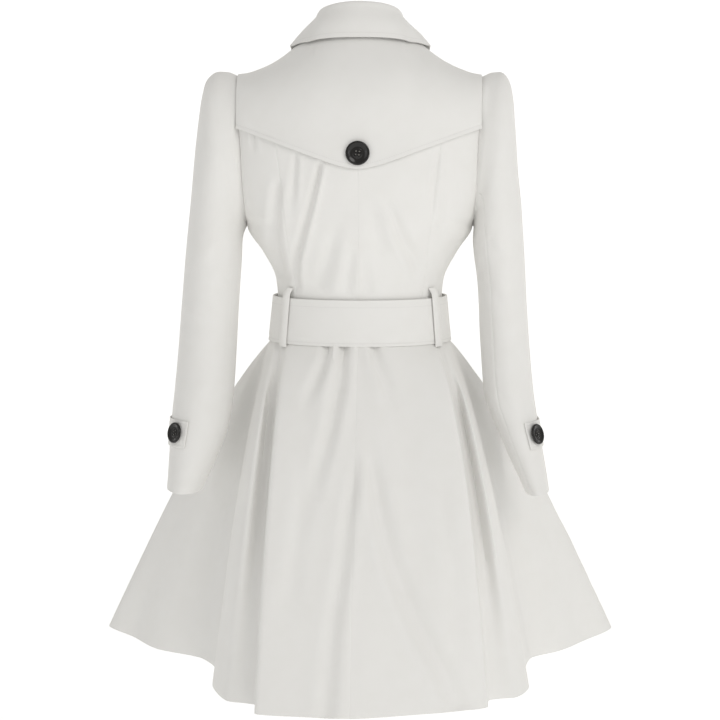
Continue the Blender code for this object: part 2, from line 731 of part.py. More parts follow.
def make_collar(wool):
    pieces = [("collar_stand", stand_surface, STAND_ROWS), ("collar_fall", fall_surface, FALL_ROWS)]
    for name, surface, rows in pieces:
        points, normals = panel_grid(surface, lambda down: (-COLLAR_END, COLLAR_END), rows,
                                     COLLAR_COLUMNS, COLLAR_STEPS, 1)
        if name == "collar_stand":
            normals = flat_normals(normals, 2)
        cloth_piece(name, points, points - normals * STAND_CLOTH, wool)


# Storm flap

FLAP_STEPS = (0.05, 0.02)


def back_column(number, height):
    # the share of a grid column of the back, counted from the centre back through both panels
    seam = princess_share(height)
    away = abs(number)
    if away <= CENTRE_COLUMNS:
        return math.copysign(seam * away / CENTRE_COLUMNS, number)
    return math.copysign(seam + (1 - seam) * (away - CENTRE_COLUMNS) / SIDE_COLUMNS, number)


def flap_surface(number, down):
    # down counts grid rows of the back to the yoke line, then runs on to the flap's pointed edge
    if down <= len(FLAP_ROWS) - 1:
        height = np.interp(down, range(len(FLAP_ROWS)), FLAP_ROWS)
        return back_surface(back_column(number, height), height)
    away = abs(back_surface(back_column(number, YOKE_Z), YOKE_Z)[0])
    low = FLAP_POINT_Z + (FLAP_END_Z - FLAP_POINT_Z) * away / FLAP_END_X
    height = YOKE_Z + (low - YOKE_Z) * (down - len(FLAP_ROWS) + 1) / FLAP_EDGE_ROWS
    return back_surface(back_column(number, height), height)


def make_storm_flap(wool, black, button):
    reach = (CENTRE_COLUMNS + SIDE_COLUMNS) - FLAP_SHORT
    rows = range(len(FLAP_ROWS) + FLAP_EDGE_ROWS)
    columns = 2 * (CENTRE_COLUMNS + SIDE_COLUMNS)
    points, normals = panel_grid(flap_surface, lambda down: (-reach, reach), rows, columns, FLAP_STEPS, 1)
    inner = points + normals * FLAP_GAP
    cloth_piece("storm_flap", inner + normals * CLOTH, inner, wool)
    normal = normal_at(back_surface, 0, FLAP_BUTTON_Z, BODY_STEPS, -1)
    seat = back_surface(0, FLAP_BUTTON_Z) + normal * (FLAP_GAP + CLOTH)
    place_button("flap_button", button, black, seat, normal)


# Belt and loops

BELT_STEPS = (0.5, 0.02)


def belt_surface(turn, down):
    # the belt's inner face, from its top edge to its lower edge
    x, top_y, _ = cosine_split(turn, BELT_TOP_BACK, BELT_TOP_FRONT)
    _, low_y, _ = cosine_split(turn, HIP_BACK + LAY_GAP, HIP_FRONT + LAY_GAP)
    top = np.array([BELT_TOP_X * x, top_y, BELT_TOP_Z])
    low = np.array([(HIP_X + LAY_GAP) * x, low_y, HIP_Z])
    out = np.array([x, math.cos(math.radians(turn)), 0])
    return top + (low - top) * down + out * BELT_STEP * ease(BELT_STEP_START, BELT_STEP_FULL, turn)


def make_belt(wool, black, button):
    points, normals = panel_grid(belt_surface, lambda down: (BELT_START, BELT_END), (0, 1), BELT_COLUMNS,
                                 BELT_STEPS, 1)
    cloth_piece("belt", points + normals * BELT_CLOTH, points, wool)
    middle = 180 + (BELT_END + BELT_START) / 2
    normal = normal_at(belt_surface, middle, 0.5, BELT_STEPS, 1)
    seat = belt_surface(middle, 0.5) + normal * BELT_CLOTH
    place_button("belt_button", button, black, seat, normal)


def loop_surface(turn, down):
    # the loop's inner face: from the bodice over the belt to the skirt
    clear = BELT_CLOTH + LAY_GAP
    sign = math.copysign(1, turn)
    top = mirrored(back_surface(abs(turn) / 90, LOOP_TOP_Z), sign)
    place = np.interp(turn, column(FOLDS, "turn"), FOLD_KEYS)
    foot = skirt_point(place, (LOOP_FOOT_Z - HIP_Z) / (HEM_Z - HIP_Z))
    out = np.array([math.sin(math.radians(turn)), math.cos(math.radians(turn)), 0])
    over = [belt_surface(turn, key.down) + out * (clear + key.out) + [0, 0, key.up] for key in LOOP_PATH]
    keys = np.array([top + out * LOOP_GAP] + over + [foot + out * LOOP_GAP])
    return np.array([smooth(list(range(len(keys))), keys[:, axis], down) for axis in range(3)])


def make_loops(wool):
    for loop in LOOPS:
        speed = np.linalg.norm(belt_surface(loop.turn + 0.5, 0.5) - belt_surface(loop.turn - 0.5, 0.5))
        half = LOOP_WIDTH / 2 / speed
        edges = (loop.turn - half, loop.turn + half)
        points, normals = panel_grid(loop_surface, lambda down: edges, LOOP_ROWS, LOOP_COLUMNS,
                                     BELT_STEPS, 1)
        cloth_piece(f"belt_loop_{loop.name}", points + normals * CLOTH, points, wool)


def make_front_buttons(black, button):
    for number, z in enumerate(FRONT_BUTTON_Z, start=1):
        normal = normal_at(front_surface, 0, z, BODY_STEPS, 1)
        place_button(f"front_button_{number}", button, black, front_surface(0, z), normal)


def main():
    for old in list(bpy.data.objects):
        bpy.data.objects.remove(old, do_unlink=True)
    wool = make_material("ivory_wool", WOOL_COLOUR, 0.9)
    black = make_material("black_button", BUTTON_COLOUR, 0.2)
    large = button_template("button_large", FLAP_BUTTON, black)
    small = button_template("button_small", CUFF_BUTTON, black)
    make_bodice(wool)
    make_sleeves(wool)
    make_cuff_tabs(wool, black, small)
    make_skirt(wool)
    make_collar(wool)
    make_storm_flap(wool, black, large)
    make_belt(wool, black, small)
    make_loops(wool)
    make_front_buttons(black, large)


main()
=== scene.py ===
import math

import bpy
import numpy as np
from mathutils import Matrix, Vector


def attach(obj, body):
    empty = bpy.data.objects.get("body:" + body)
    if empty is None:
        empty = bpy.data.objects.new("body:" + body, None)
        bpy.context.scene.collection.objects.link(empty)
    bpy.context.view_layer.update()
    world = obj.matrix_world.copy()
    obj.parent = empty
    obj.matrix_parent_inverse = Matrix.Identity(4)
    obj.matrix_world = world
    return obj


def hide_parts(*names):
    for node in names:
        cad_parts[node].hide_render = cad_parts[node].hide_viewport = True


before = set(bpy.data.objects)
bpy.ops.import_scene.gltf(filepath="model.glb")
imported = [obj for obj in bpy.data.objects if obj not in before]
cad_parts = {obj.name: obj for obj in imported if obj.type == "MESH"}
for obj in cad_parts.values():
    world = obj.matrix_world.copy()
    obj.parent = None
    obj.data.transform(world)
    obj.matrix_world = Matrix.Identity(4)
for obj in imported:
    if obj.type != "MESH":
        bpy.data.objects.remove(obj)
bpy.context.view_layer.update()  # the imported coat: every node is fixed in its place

mm = 0.001  # the tables below are in millimetres
hands = (("left", 1), ("right", -1))
bpy.context.scene.view_settings.view_transform = "Standard"
print("frame loaded:", len(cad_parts), "nodes")


# curves that every piece uses

def softCurve(keys, values, at):  # a cubic through the values that never swings past them
    keys, values, at = (np.asarray(a, float) for a in (keys, values, at))
    step = np.diff(keys)
    rise = np.diff(values) / step
    slope = np.zeros(len(keys))
    slope[0], slope[-1] = rise[0], rise[-1]
    both = rise[:-1] * rise[1:]
    total = np.where(both > 0, rise[:-1] + rise[1:], 1)
    slope[1:-1] = np.where(both > 0, 2 * both / total, 0)
    at = np.clip(at, keys[0], keys[-1])
    k = np.clip(np.searchsorted(keys, at) - 1, 0, len(step) - 1)
    t = (at - keys[k]) / step[k]
    start = values[k] * (1 + 2 * t) * (1 - t) ** 2 + step[k] * slope[k] * t * (1 - t) ** 2
    end = values[k + 1] * t * t * (3 - 2 * t) + step[k] * slope[k + 1] * t * t * (t - 1)
    return start + end


def ease(low, high, at):  # 0 below low, 1 above high, soft at both ends
    t = np.clip((np.asarray(at, float) - low) / (high - low), 0, 1)
    return t * t * (3 - 2 * t)


def columnOf(table, number):
    return [row[number] for row in table]


def tableCurve(table, number, at):  # one column of a table, read against its first column
    return softCurve(columnOf(table, 0), columnOf(table, number), at)


def vec(*parts):  # x, y and z arrays as one array of points
    return np.stack(np.broadcast_arrays(*[np.asarray(p, float) for p in parts]), axis=-1)


def between(a, b, share):
    return a + (b - a) * np.asarray(share, float)[..., None]


def pair(a, b):  # two arrays brought to one shape
    return np.broadcast_arrays(np.asarray(a, float), np.asarray(b, float))


def unit(arrows):
    return arrows / np.maximum(np.linalg.norm(arrows, axis=-1, keepdims=True), 1e-9)


def outAt(surface, u, v, du, dv, facing):  # outward direction of a surface
    across = surface(u + du, v) - surface(u - du, v)
    down = surface(u, v + dv) - surface(u, v - dv)
    return unit(np.cross(across, down) * facing)


# the bodice's form

bodice = {
    # level, edge, then reach at the edge, reach at the centre and turn: behind, and in front
    "levels": [(-390, 124.0, 0, 81, 90, 0, 92, 90), (-360, 121.0, 0, 82, 90, 0, 93, 90),
               (-334, 123.5, 0, 86, 90, 0, 97, 90), (-293, 143.0, 0, 95, 90, 0, 110, 90),
               (-257, 165.0, 0, 105, 90, 0, 122, 90), (-240, 166.5, 32, 109, 78, 34, 126, 80),
               (-215, 168.0, 48, 112, 70, 50, 130, 74), (-180, 170.0, 56, 116, 64, 56, 130, 70),
               (-145, 171.5, 58, 117, 62, 54, 124, 66), (-110, 173.5, 56, 116, 62, 46, 112, 62)],
    "yoke": -110, "yokeRise": 110, "yokePull": 0.45,  # above the yoke line the cloth turns over the shoulder
    "tip": 177, "underarm": -257,
    "neckHalf": 70, "neckLevel": 27, "neckBack": 62, "neckFront": 76, "neckDrop": 52, "neckShape": 1.5,
    "shoulder": [(70, 27, 0), (84, 11, 0), (99, -5, -1), (114, -17, -2), (137, -30, -3), (160, -37, -4),
                 (177, -39, -4)],  # from the centre, level, forward
    "topSlope": [(0, 66), (45, 48), (70, 28), (112, 0), (180, 0)],
    "princess": [(-390, 86), (-316, 96), (-245, 104.5), (-132, 117), (0, 131)],
    "lap": 32, "lapSink": 3.2, "lapFull": 36, "lapStart": 62,
    "cloth": 2.0, "spacing": 4.6, "topTrim": -0.2, "nudge": (0.002, 0.5),
}


def levelAt(side, height):
    height = np.minimum(height, bodice["yoke"])
    numbers = (1, 2, 3, 4) if side == "back" else (1, 5, 6, 7)
    edge, near, deep, turn = (tableCurve(bodice["levels"], n, height) for n in numbers)
    return edge, near, deep, np.radians(turn)


def topSeam(side, x):  # the neckline, then the shoulder seam
    away = np.abs(x)
    root = np.sqrt(np.clip(1 - (away / bodice["neckHalf"]) ** 2, 0, 1))
    onNeck = away < bodice["neckHalf"]
    reach = bodice["neckBack"] if side == "back" else -bodice["neckFront"]
    drop = 0 if side == "back" else bodice["neckDrop"] * root ** bodice["neckShape"]
    y = np.where(onNeck, reach * root, tableCurve(bodice["shoulder"], 2, away))
    z = np.where(onNeck, bodice["neckLevel"] - drop, tableCurve(bodice["shoulder"], 1, away))
    return vec(x, y, z)


def bodySurface(side, share, height):  # share is 0 at the centre and 1 at the side seam or armhole
    share, height = pair(share, height)
    facing = 1 if side == "back" else -1
    edge, near, deep, full = levelAt(side, height)
    across = np.sin(full * share) / np.sin(full)
    bulge = (np.cos(full * share) - np.cos(full)) / (1 - np.cos(full))
    low = vec(edge * across, facing * (near + (deep - near) * bulge), np.minimum(height, bodice["yoke"]))
    top = topSeam(side, bodice["tip"] * across)
    slope = np.radians(tableCurve(bodice["topSlope"], 1, np.abs(top[..., 0])))
    reach = bodice["yokePull"] * np.linalg.norm(top - low, axis=-1)
    first = low + vec(0 * reach, 0 * reach, reach)
    last = top - reach[..., None] * vec(0 * slope, -facing * np.cos(slope), np.sin(slope))
    t = np.clip((height - bodice["yoke"]) / bodice["yokeRise"], 0, 1)[..., None]
    return low * (1 - t) ** 3 + 3 * first * t * (1 - t) ** 2 + 3 * last * t * t * (1 - t) + top * t ** 3


def bodyOut(side, share, height):  # outward direction on the back or the front
    facing = -1 if side == "back" else 1
    return outAt(lambda u, v: bodySurface(side, u, v), share, height, *bodice["nudge"], facing)


def shareAt(side, x, height):  # the share at which the cloth is x from the centre
    edge, _, _, full = levelAt(side, height)
    climb = np.maximum((np.asarray(height, float) - bodice["yoke"]) / bodice["yokeRise"], 0)
    edge = edge + (bodice["tip"] - edge) * climb
    return np.arcsin(np.clip(x / edge * np.sin(full), -1, 1)) / full


def princessShare(height):
    return shareAt("back", tableCurve(bodice["princess"], 1, height), height)


# the sleeves' form

sleeve = {
    # outer level, inner level, middle, half depth, then the outer and inner edge: left, and right
    "rings": [(-34, -258, 1, 61, 189, 166, 189, 165.8), (-33, -260, 2, 63, 205, 167, 203, 165.8),
              (-45, -263, 3, 65, 222, 168.5, 215, 165.6), (-71, -267, 4, 66, 229.5, 170, 221.5, 165.2),
              (-120, -272, 5, 66.5, 236, 171.5, 226, 164.8), (-175, -280, 7, 66, 242, 172.5, 230, 164.8),
              (-240, -298, 9, 64, 249, 173, 236.5, 166.5), (-315, -332, 13, 61, 256, 174.5, 240.5, 171),
              (-428, -428, 30, 56, 264, 179, 248, 177), (-493, -493, 48, 53, 268.5, 182.5, 253.5, 181.5),
              (-536, -538, 60, 51, 272, 188.5, 260, 197), (-586, -588, 70, 51, 275.2, 206, 268, 219),
              (-630, -634, 79, 52, 278, 227, 275, 241)],
    "backSeam": {"left": 40, "right": 58}, "frontSeam": 310,
    "seamDrop": {"left": 0.35, "right": 0.8}, "headDrop": 0.4,
    "gap": 0.4, "tuck": (5.0, 1.4), "overlap": 0.6, "armholeSteps": 160, "cloth": 2.0, "spacing": 4.8,
}


def armholePoint(turn):
    heights = np.linspace(bodice["underarm"], 0, sleeve["armholeSteps"])
    behind = np.sin(np.radians(turn)) >= 0
    found = []
    for side in ("back", "front"):
        edge = bodySurface(side, 1.0, heights)
        low, high = edge[0, 2], edge[-1, 2]
        z = (low + high) / 2 - (high - low) / 2 * np.cos(np.radians(turn))
        found.append(vec(*[np.interp(z, edge[:, 2], edge[:, axis]) for axis in range(3)]))
    return np.where(behind[..., None], found[0], found[1]) + [sleeve["gap"], 0, 0]


def ringPoint(arm, turn, at):
    keys = range(1, len(sleeve["rings"]) + 1)
    value = [softCurve(keys, columnOf(sleeve["rings"], n), at) for n in range(8)]
    outerX, innerX = (value[4], value[5]) if arm == "left" else (value[6], value[7])
    outer = vec(outerX, value[2], value[0])
    inner = vec(innerX, value[2], value[1])
    angle = np.radians(turn)
    depth = vec(0 * angle, value[3] * np.sin(angle), 0 * angle)
    return (outer + inner) / 2 - (outer - inner) / 2 * np.cos(angle)[..., None] + depth


def sleeveSurface(arm, turn, at):  # turn is 0 at the inner edge, 90 behind and 180 outside
    turn, at = pair(turn, at)
    ring = ringPoint(arm, turn, np.maximum(at, 1))
    return np.where((at < 1)[..., None], between(armholePoint(turn), ring, at), ring)


# the skirt's form

skirt = {
    # place round the waist, x and y at the hem, rise of the hem, spread below the waist
    "leftFolds": [
        ("back", 24, 70, 275, 0, 0.70), ("ridgeA", 51, 139, 261, 0, 0.50), ("insideA", 55, 138, 224, 0, 0.54),
        ("pleatFloor", 60, 156, 212, 0, 0.58), ("pleat", 66, 180, 204, 0, 0.61), ("ridgeB", 76, 211, 117, 0, 0.64),
        ("insideB", 81, 211, 62, 2, 0.66), ("valley", 86, 236, 4, 5, 0.70), ("side", 90, 312, -36, 10, 0.75),
        ("sideOut", 95, 354, -74, 17, 0.77), ("outline", 101, 396, -117, 25, 0.77)],
    "rightFolds": [
        ("back", 24, 80, 261, 0, 0.74), ("ridgeA", 54, 184, 220, 0, 0.36), ("insideA", 58, 187, 190, 0, 0.40),
        ("pleatFloor", 62, 203, 180, 0, 0.47), ("pleat", 67, 225, 174, 0, 0.50), ("ridgeB", 77, 248, 117, 0, 0.62),
        ("insideB", 82, 246, 55, 2, 0.69), ("valley", 87, 256, -10, 5, 0.71), ("side", 91, 306, -48, 9, 0.75),
        ("sideOut", 95, 346, -82, 15, 0.77), ("outline", 101, 388, -127, 25, 0.77)],
    "frontFolds": [
        ("frontSide", 120, 326, -236, 15, 0.76), ("frontValley", 130, 262, -248, 8, 0.74),
        ("frontRidge", 142, 200, -304, 2, 0.72), ("front", 160, 95, -318, 0, 0.75),
        ("centreFront", 180, 0, -320, 0, 0.75), ("frontLap", 194, -62, -319, 0, 0.75)],
    "leftTurn": ("frontTurn", 109, 392, -184, 25, 0.77), "rightTurn": ("frontTurn", 109, 386, -188, 25, 0.77),
    "centreBack": ("centreBack", 0, 7, 281, 0, 0.78),
    # how far a pleat swells to the back at mid height, and where down the skirt that grows and fades
    "puffs": {"pleatLeft": 20, "ridgeBLeft": 14, "pleatRight": 24, "ridgeBRight": 16},
    "puffGrows": (0.03, 0.22), "puffFades": (0.45, 0.95),
    # the slit beside a back panel's edge
    "slitDeep": {"left": 9, "right": 3}, "slitPlace": 14, "slitWide": 8,
    "slitGrows": (0.02, 0.16), "slitFades": (0.45, 0.9),
    "hem": -914, "hip": -424, "hipX": 131.5, "hipBack": 90, "hipFront": 104, "flareEase": 0.03,
    "lapSink": 3.2, "lapEase": 0.6, "cloth": 2.0, "spacing": 5.2, "topTrim": -0.988,
}


def skirtFolds():
    left = skirt["leftFolds"] + [skirt["leftTurn"]] + skirt["frontFolds"]
    right = skirt["rightFolds"] + [skirt["rightTurn"]] + skirt["frontFolds"]
    named = [(name + "Right", -turn, -x, *rest) for name, turn, x, *rest in right]
    return named[::-1] + [skirt["centreBack"]] + [(fold[0] + "Left", *fold[1:]) for fold in left]


folds = skirtFolds()
foldNames = columnOf(folds, 0)
puffs = [skirt["puffs"].get(name, 0) for name in foldNames]


def waistPoint(turn, drop):  # the fitted band under the belt
    waist = bodice["levels"][0]
    angle = np.radians(turn)
    behind = np.cos(angle) > 0
    low = np.where(behind, skirt["hipBack"], skirt["hipFront"])
    high = np.where(behind, waist[3], waist[6])
    x = waist[1] + (skirt["hipX"] - waist[1]) * drop
    y = high + (low - high) * drop
    return vec(x * np.sin(angle), y * np.cos(angle), waist[0] + (skirt["hip"] - waist[0]) * drop)


def growsAndFades(label, down):
    return ease(*skirt[label + "Grows"], down) * (1 - ease(*skirt[label + "Fades"], down))


def skirtSurface(place, down):  # down is -1 at the waist seam, 0 under the belt and 1 at the hem
    place, down = pair(place, down)
    keys = range(len(folds))
    turn, hemX, hemY, rise, bell = (softCurve(keys, columnOf(folds, n), place) for n in range(1, 6))
    band = waistPoint(turn, np.minimum(1 + down, 1))
    soft = skirt["flareEase"]
    below = np.maximum(down, 0)
    flare = ((below + soft) ** bell - soft ** bell) / ((1 + soft) ** bell - soft ** bell)
    end = vec(hemX, hemY, skirt["hem"] + rise)
    swell = softCurve(keys, puffs, place) * growsAndFades("puff", down)
    return band + (end - band) * vec(flare, flare, below) + vec(0 * swell, swell, 0 * swell)


# how a panel is laid out as a fine grid

edgeFinish = {
    "steps": (0, 0.6, 1.4, 2.6, 4.6),  # grid lines close to every edge, so that it can roll over
    "rowTrials": 200, "columnTrials": 300, "nudge": 1e-3, "gap": 0.04,
    "seamSoft": 1.6,  # a sewn edge dips into its seam
    "rollDrop": 1.8, "rollSoft": 4.5, "rollFade": (4, 34),  # a rolled edge turns in under its neighbour
    "stitchSink": 0.7, "stitchSoft": 1.1,  # the thread pulls the cloth in
    "bevel": 0.55, "bevelSegments": 2, "smoothAngle": 60, "soften": 3, "mostArea": 0.999,
}
# slow unevenness all over: wave lengths across, down and through, then height
clothWaves = [(148, 260, 190, 0.30), (83, 139, 121, 0.20), (57, 91, 77, 0.12)]
wavePhase = 1.7


def evenPlaces(length, spacing):  # from 0 to 1, close together at both ends
    near = np.array(edgeFinish["steps"])
    near = near[near < length / 4]
    count = max(2, round((length - 2 * near[-1]) / spacing))
    inner = np.linspace(near[-1], length - near[-1], count + 1)
    return np.concatenate([near[:-1], inner, (length - near[:-1])[::-1]]) / length


def runLength(points, axis):  # length along the grid from its first row or column
    step = np.linalg.norm(np.diff(points, axis=axis), axis=-1)
    start = np.zeros_like(np.take(step, [0], axis=axis))
    return np.concatenate([start, np.cumsum(step, axis=axis)], axis=axis)


def panelGrid(surface, edges, first, last, spacing, gap=edgeFinish["gap"]):
    def endsAt(rows):  # edges gives a number or a row of them for each end
        return (np.broadcast_to(np.asarray(e, float), rows.shape) for e in edges(rows))

    trial = np.linspace(first, last, edgeFinish["rowTrials"])
    start, end = endsAt(trial)
    run = runLength(surface((start + end) / 2, trial), 0)
    rows = np.interp(evenPlaces(run[-1], spacing) * run[-1], run, trial)
    start, end = endsAt(rows)
    nudge = (end - start) * edgeFinish["nudge"]
    startStep = np.linalg.norm(surface(start + nudge, rows) - surface(start, rows), axis=-1)
    endStep = np.linalg.norm(surface(end - nudge, rows) - surface(end, rows), axis=-1)
    start = start + nudge * gap / 2 / np.maximum(startStep, 1e-6)
    end = end - nudge * gap / 2 / np.maximum(endStep, 1e-6)
    trial = np.linspace(0, 1, edgeFinish["columnTrials"])
    across = runLength(surface(start[:, None] + (end - start)[:, None] * trial, rows[:, None]), 1)
    widest = across[np.argmax(across[:, -1])]
    columns = np.interp(evenPlaces(widest[-1], spacing) * widest[-1], widest, trial)
    places = start[:, None] + (end - start)[:, None] * columns
    return surface(places, rows[:, None]), places


def soften(values, passes, axes=(0, 1)):  # each grid value drawn towards its neighbours
    for _ in range(passes):
        for axis in axes:
            wide = np.concatenate([values.take([0], axis), values, values.take([-1], axis)], axis)
            count = values.shape[axis]
            values = values / 2 + (wide.take(range(count), axis) + wide.take(range(2, count + 2), axis)) / 4
    return values


def evenAcross(points, settings):  # bends across the piece evened out, away from its two ends
    runs = edgeRuns(points)
    blend = ease(*settings["smoothFrom"], np.minimum(runs["first"], runs["last"]))[..., None]
    return points * (1 - blend) + soften(points, settings["smooth"], (1,)) * blend


def outwardOf(points, facing):
    normal = unit(np.cross(np.gradient(points, axis=1), np.gradient(points, axis=0)) * facing)
    return unit(soften(normal, edgeFinish["soften"]))


def edgeRuns(points):  # millimetres to each edge of the grid
    across, down = runLength(points, 1), runLength(points, 0)
    return {"first": across, "last": across[:, -1:] - across, "top": down, "bottom": down[-1:] - down}


# creases: a path as x and z, half width, depth, lean, and the share of it that fades in and fades out

creaseForm = {
    "pathSteps": 6, "startWide": 0.75, "gainWide": 0.5,
    "shoulderAt": 1.8, "shoulderHigh": 0.35, "facing": (0.05, 0.4),
}


def pathRun(x, z, path):  # distance from the path, place along it and side of it
    path = np.array(path, float)
    keys = np.arange(len(path))
    fine = np.linspace(0, keys[-1], creaseForm["pathSteps"] * keys[-1] + 1)
    px, pz = softCurve(keys, path[:, 0], fine), softCurve(keys, path[:, 1], fine)
    best = np.full(x.shape, 1e9)
    along, side = np.zeros(x.shape), np.ones(x.shape)
    for k in range(len(fine) - 1):
        dx, dz = px[k + 1] - px[k], pz[k + 1] - pz[k]
        t = np.clip(((x - px[k]) * dx + (z - pz[k]) * dz) / (dx * dx + dz * dz), 0, 1)
        awayX, awayZ = x - px[k] - t * dx, z - pz[k] - t * dz
        away = np.hypot(awayX, awayZ)
        nearer = away < best
        best = np.where(nearer, away, best)
        along = np.where(nearer, (k + t) / (len(fine) - 1), along)
        side = np.where(nearer, np.sign(awayX * dz - awayZ * dx), side)
    return best, along, side


def creaseMove(points, normal, creases, face):  # a trough is negative, with a soft shoulder on both sides
    c = creaseForm
    move = np.zeros(points.shape[:2])
    for path, width, depth, lean, fadeIn, fadeOut in creases:
        away, along, side = pathRun(points[..., 0], points[..., 2], path)
        wide = width * (c["startWide"] + c["gainWide"] * along)
        starts = ease(0, fadeIn, along) if fadeIn else 1
        stays = 1 - ease(1 - fadeOut, 1, along) if fadeOut else 1
        trough = np.exp(-(away / wide) ** 2)
        shoulder = np.exp(-((away - c["shoulderAt"] * wide) / wide) ** 2) * (c["shoulderHigh"] + lean * side)
        move -= depth * starts * stays * (trough - shoulder)
    return move * ease(*c["facing"], face * normal[..., 1])  # only where the cloth faces that way


def waveMove(points):
    move = np.zeros(points.shape[:2])
    for number, (across, down, through, high) in enumerate(clothWaves):
        phase = points[..., 0] / across + points[..., 2] / down + points[..., 1] / through
        move += high * np.sin(2 * math.pi * phase + wavePhase * number)
    return move


# meshes

def meshPiece(name, points, edges, faces):
    mesh = bpy.data.meshes.new(name)
    mesh.from_pydata(points, edges, faces)
    piece = bpy.data.objects.new(name, mesh)
    bpy.context.collection.objects.link(piece)
    return piece


def onlySelect(piece):
    bpy.ops.object.select_all(action="DESELECT")
    piece.select_set(True)
    bpy.context.view_layer.objects.active = piece


def addModifier(piece, kind, **values):  # adds a modifier, sets it and applies it
    onlySelect(piece)
    modifier = piece.modifiers.new(kind.title(), kind)
    for name, value in values.items():
        setattr(modifier, name, value)
    bpy.ops.object.modifier_apply(modifier=modifier.name)


def meshFromGrid(name, points, normal):  # a plain grid, each vertex moved to its place on the panel
    rows, columns = points.shape[:2]
    bpy.ops.object.select_all(action="DESELECT")
    bpy.ops.mesh.primitive_grid_add(x_subdivisions=columns - 1, y_subdivisions=rows - 1, size=2)
    piece = bpy.context.object
    piece.name = piece.data.name = name
    flat = np.zeros(3 * len(piece.data.vertices))
    piece.data.vertices.foreach_get("co", flat)
    column = np.rint((flat[0::3] + 1) / 2 * (columns - 1)).astype(int)
    row = np.rint((1 - flat[1::3]) / 2 * (rows - 1)).astype(int)
    piece.data.vertices.foreach_set("co", (points[row, column] * mm).ravel())
    corner = np.zeros(len(piece.data.loops), int)
    piece.data.loops.foreach_get("vertex_index", corner)
    runs = edgeRuns(points)
    chart = np.stack([runs["first"][row, column][corner], runs["top"][row, column][corner]], axis=-1) * mm
    piece.data.uv_layers.active.data.foreach_set("uv", chart.ravel())
    piece.data.update()
    middle = piece.data.polygons[len(piece.data.polygons) // 2]
    spot = middle.vertices[0]
    if middle.normal.dot(Vector(normal[row[spot], column[spot]])) < 0:
        piece.data.flip_normals()
    borders = {"first": column == 0, "last": column == columns - 1, "top": row == 0, "bottom": row == rows - 1}
    return piece, borders


def finishCloth(piece, thickness, material, free):  # a free edge is rounded, a sewn one meets its neighbour
    count = len(piece.data.vertices)
    addModifier(piece, "SOLIDIFY", thickness=thickness * mm, offset=-1, use_even_offset=False)
    ends = np.zeros(2 * len(piece.data.edges), int)
    piece.data.edges.foreach_get("vertices", ends)
    start, end = ends[0::2], ends[1::2]
    rounded = ((start < count) == (end < count)) & free[start % count] & free[end % count]
    weight = piece.data.attributes.new("bevel_weight_edge", "FLOAT", "EDGE")
    weight.data.foreach_set("value", rounded.astype(float))
    addModifier(piece, "BEVEL", width=edgeFinish["bevel"] * mm, segments=edgeFinish["bevelSegments"],
                limit_method="WEIGHT")
    onlySelect(piece)
    bpy.ops.object.shade_smooth_by_angle(angle=math.radians(edgeFinish["smoothAngle"]))
    piece.data.materials.clear()
    piece.data.materials.append(material)


def makeCloth(name, points, facing, thickness, seams={}, stitched=None, creases=(), face=1, lift=0,
              rolled=""):
    normal = outwardOf(points, facing)
    runs = edgeRuns(points)
    move = lift + waveMove(points) + creaseMove(points, normal, creases, face)
    fade = ease(*edgeFinish["rollFade"], runs[rolled]) if rolled else 1
    for edge, drop in seams.items():
        move = move - drop * fade * np.exp(-runs[edge] / edgeFinish["seamSoft"])
    if rolled:
        move = move - edgeFinish["rollDrop"] * np.exp(-runs[rolled] / edgeFinish["rollSoft"])
    for edge, place in (stitched or {}).items():
        move = move - edgeFinish["stitchSink"] * np.exp(-((runs[edge] - place) / edgeFinish["stitchSoft"]) ** 2)
    shaped = points + normal * move[..., None]
    piece, borders = meshFromGrid(name + "_cloth", shaped, normal)
    free = sum(line * (edge not in seams) for edge, line in borders.items()) > 0
    finishCloth(piece, thickness, wool, free)
    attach(piece, "root")
    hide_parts(name)
    return shaped, outwardOf(shaped, facing)


# finishes

woolSettings = {
    "colour": (0.805, 0.799, 0.780, 1), "shade": (0.788, 0.780, 0.757, 1),
    "roughness": 0.92, "specular": 0.25, "sheen": 0.35, "sheenRoughness": 0.45, "sheenTint": (1.0, 0.985, 0.95, 1),
    "mottle": (38, 4.0, 0.55), "nap": (1.0, 3.0, 0.6), "fibre": (1500, 2.0, 0.6),  # scale, detail, roughness
    "napScale": (950, 260, 1), "napShare": 0.5, "tintFrom": (0.25, 0.60), "tintTo": (0.35, 1.0),
    "napBump": (0.22, 0.0006), "mottleBump": (0.07, 0.0012),  # strength, distance
}
buttonSettings = {
    "colour": (0.004, 0.0035, 0.003, 1), "worn": (0.009, 0.008, 0.007, 1), "specular": 0.42,
    "grain": (420, 5.0, 0.6), "glossFrom": (0.3, 0.7), "glossTo": (0.10, 0.22),
}
threadSettings = {"colour": (0.55, 0.53, 0.49, 1), "dark": 0.75, "roughness": 0.8, "twist": (2400, 2.0, 0.5)}


def newMaterial(name):
    material = bpy.data.materials.new(name)
    material.use_nodes = True
    return material, material.node_tree, material.node_tree.nodes["Principled BSDF"]


def setInputs(node, names, values):
    for name, value in zip(names, values):
        node.inputs[name].default_value = value


def addNode(tree, kind, names=(), values=()):
    node = tree.nodes.new("ShaderNode" + kind)
    setInputs(node, names, values)
    return node


def addNoise(tree, values):
    return addNode(tree, "TexNoise", ("Scale", "Detail", "Roughness"), values)


def addTint(tree, *colours):
    return addNode(tree, "MixRGB", ("Color1", "Color2"), colours)


def addRange(tree, source, target):
    return addNode(tree, "MapRange", ("From Min", "From Max", "To Min", "To Max"), source + target)


def connect(tree, *wires):  # each from one node's output to another's input
    for start, output, end, entry in wires:
        tree.links.new(start.outputs[output], end.inputs[entry])


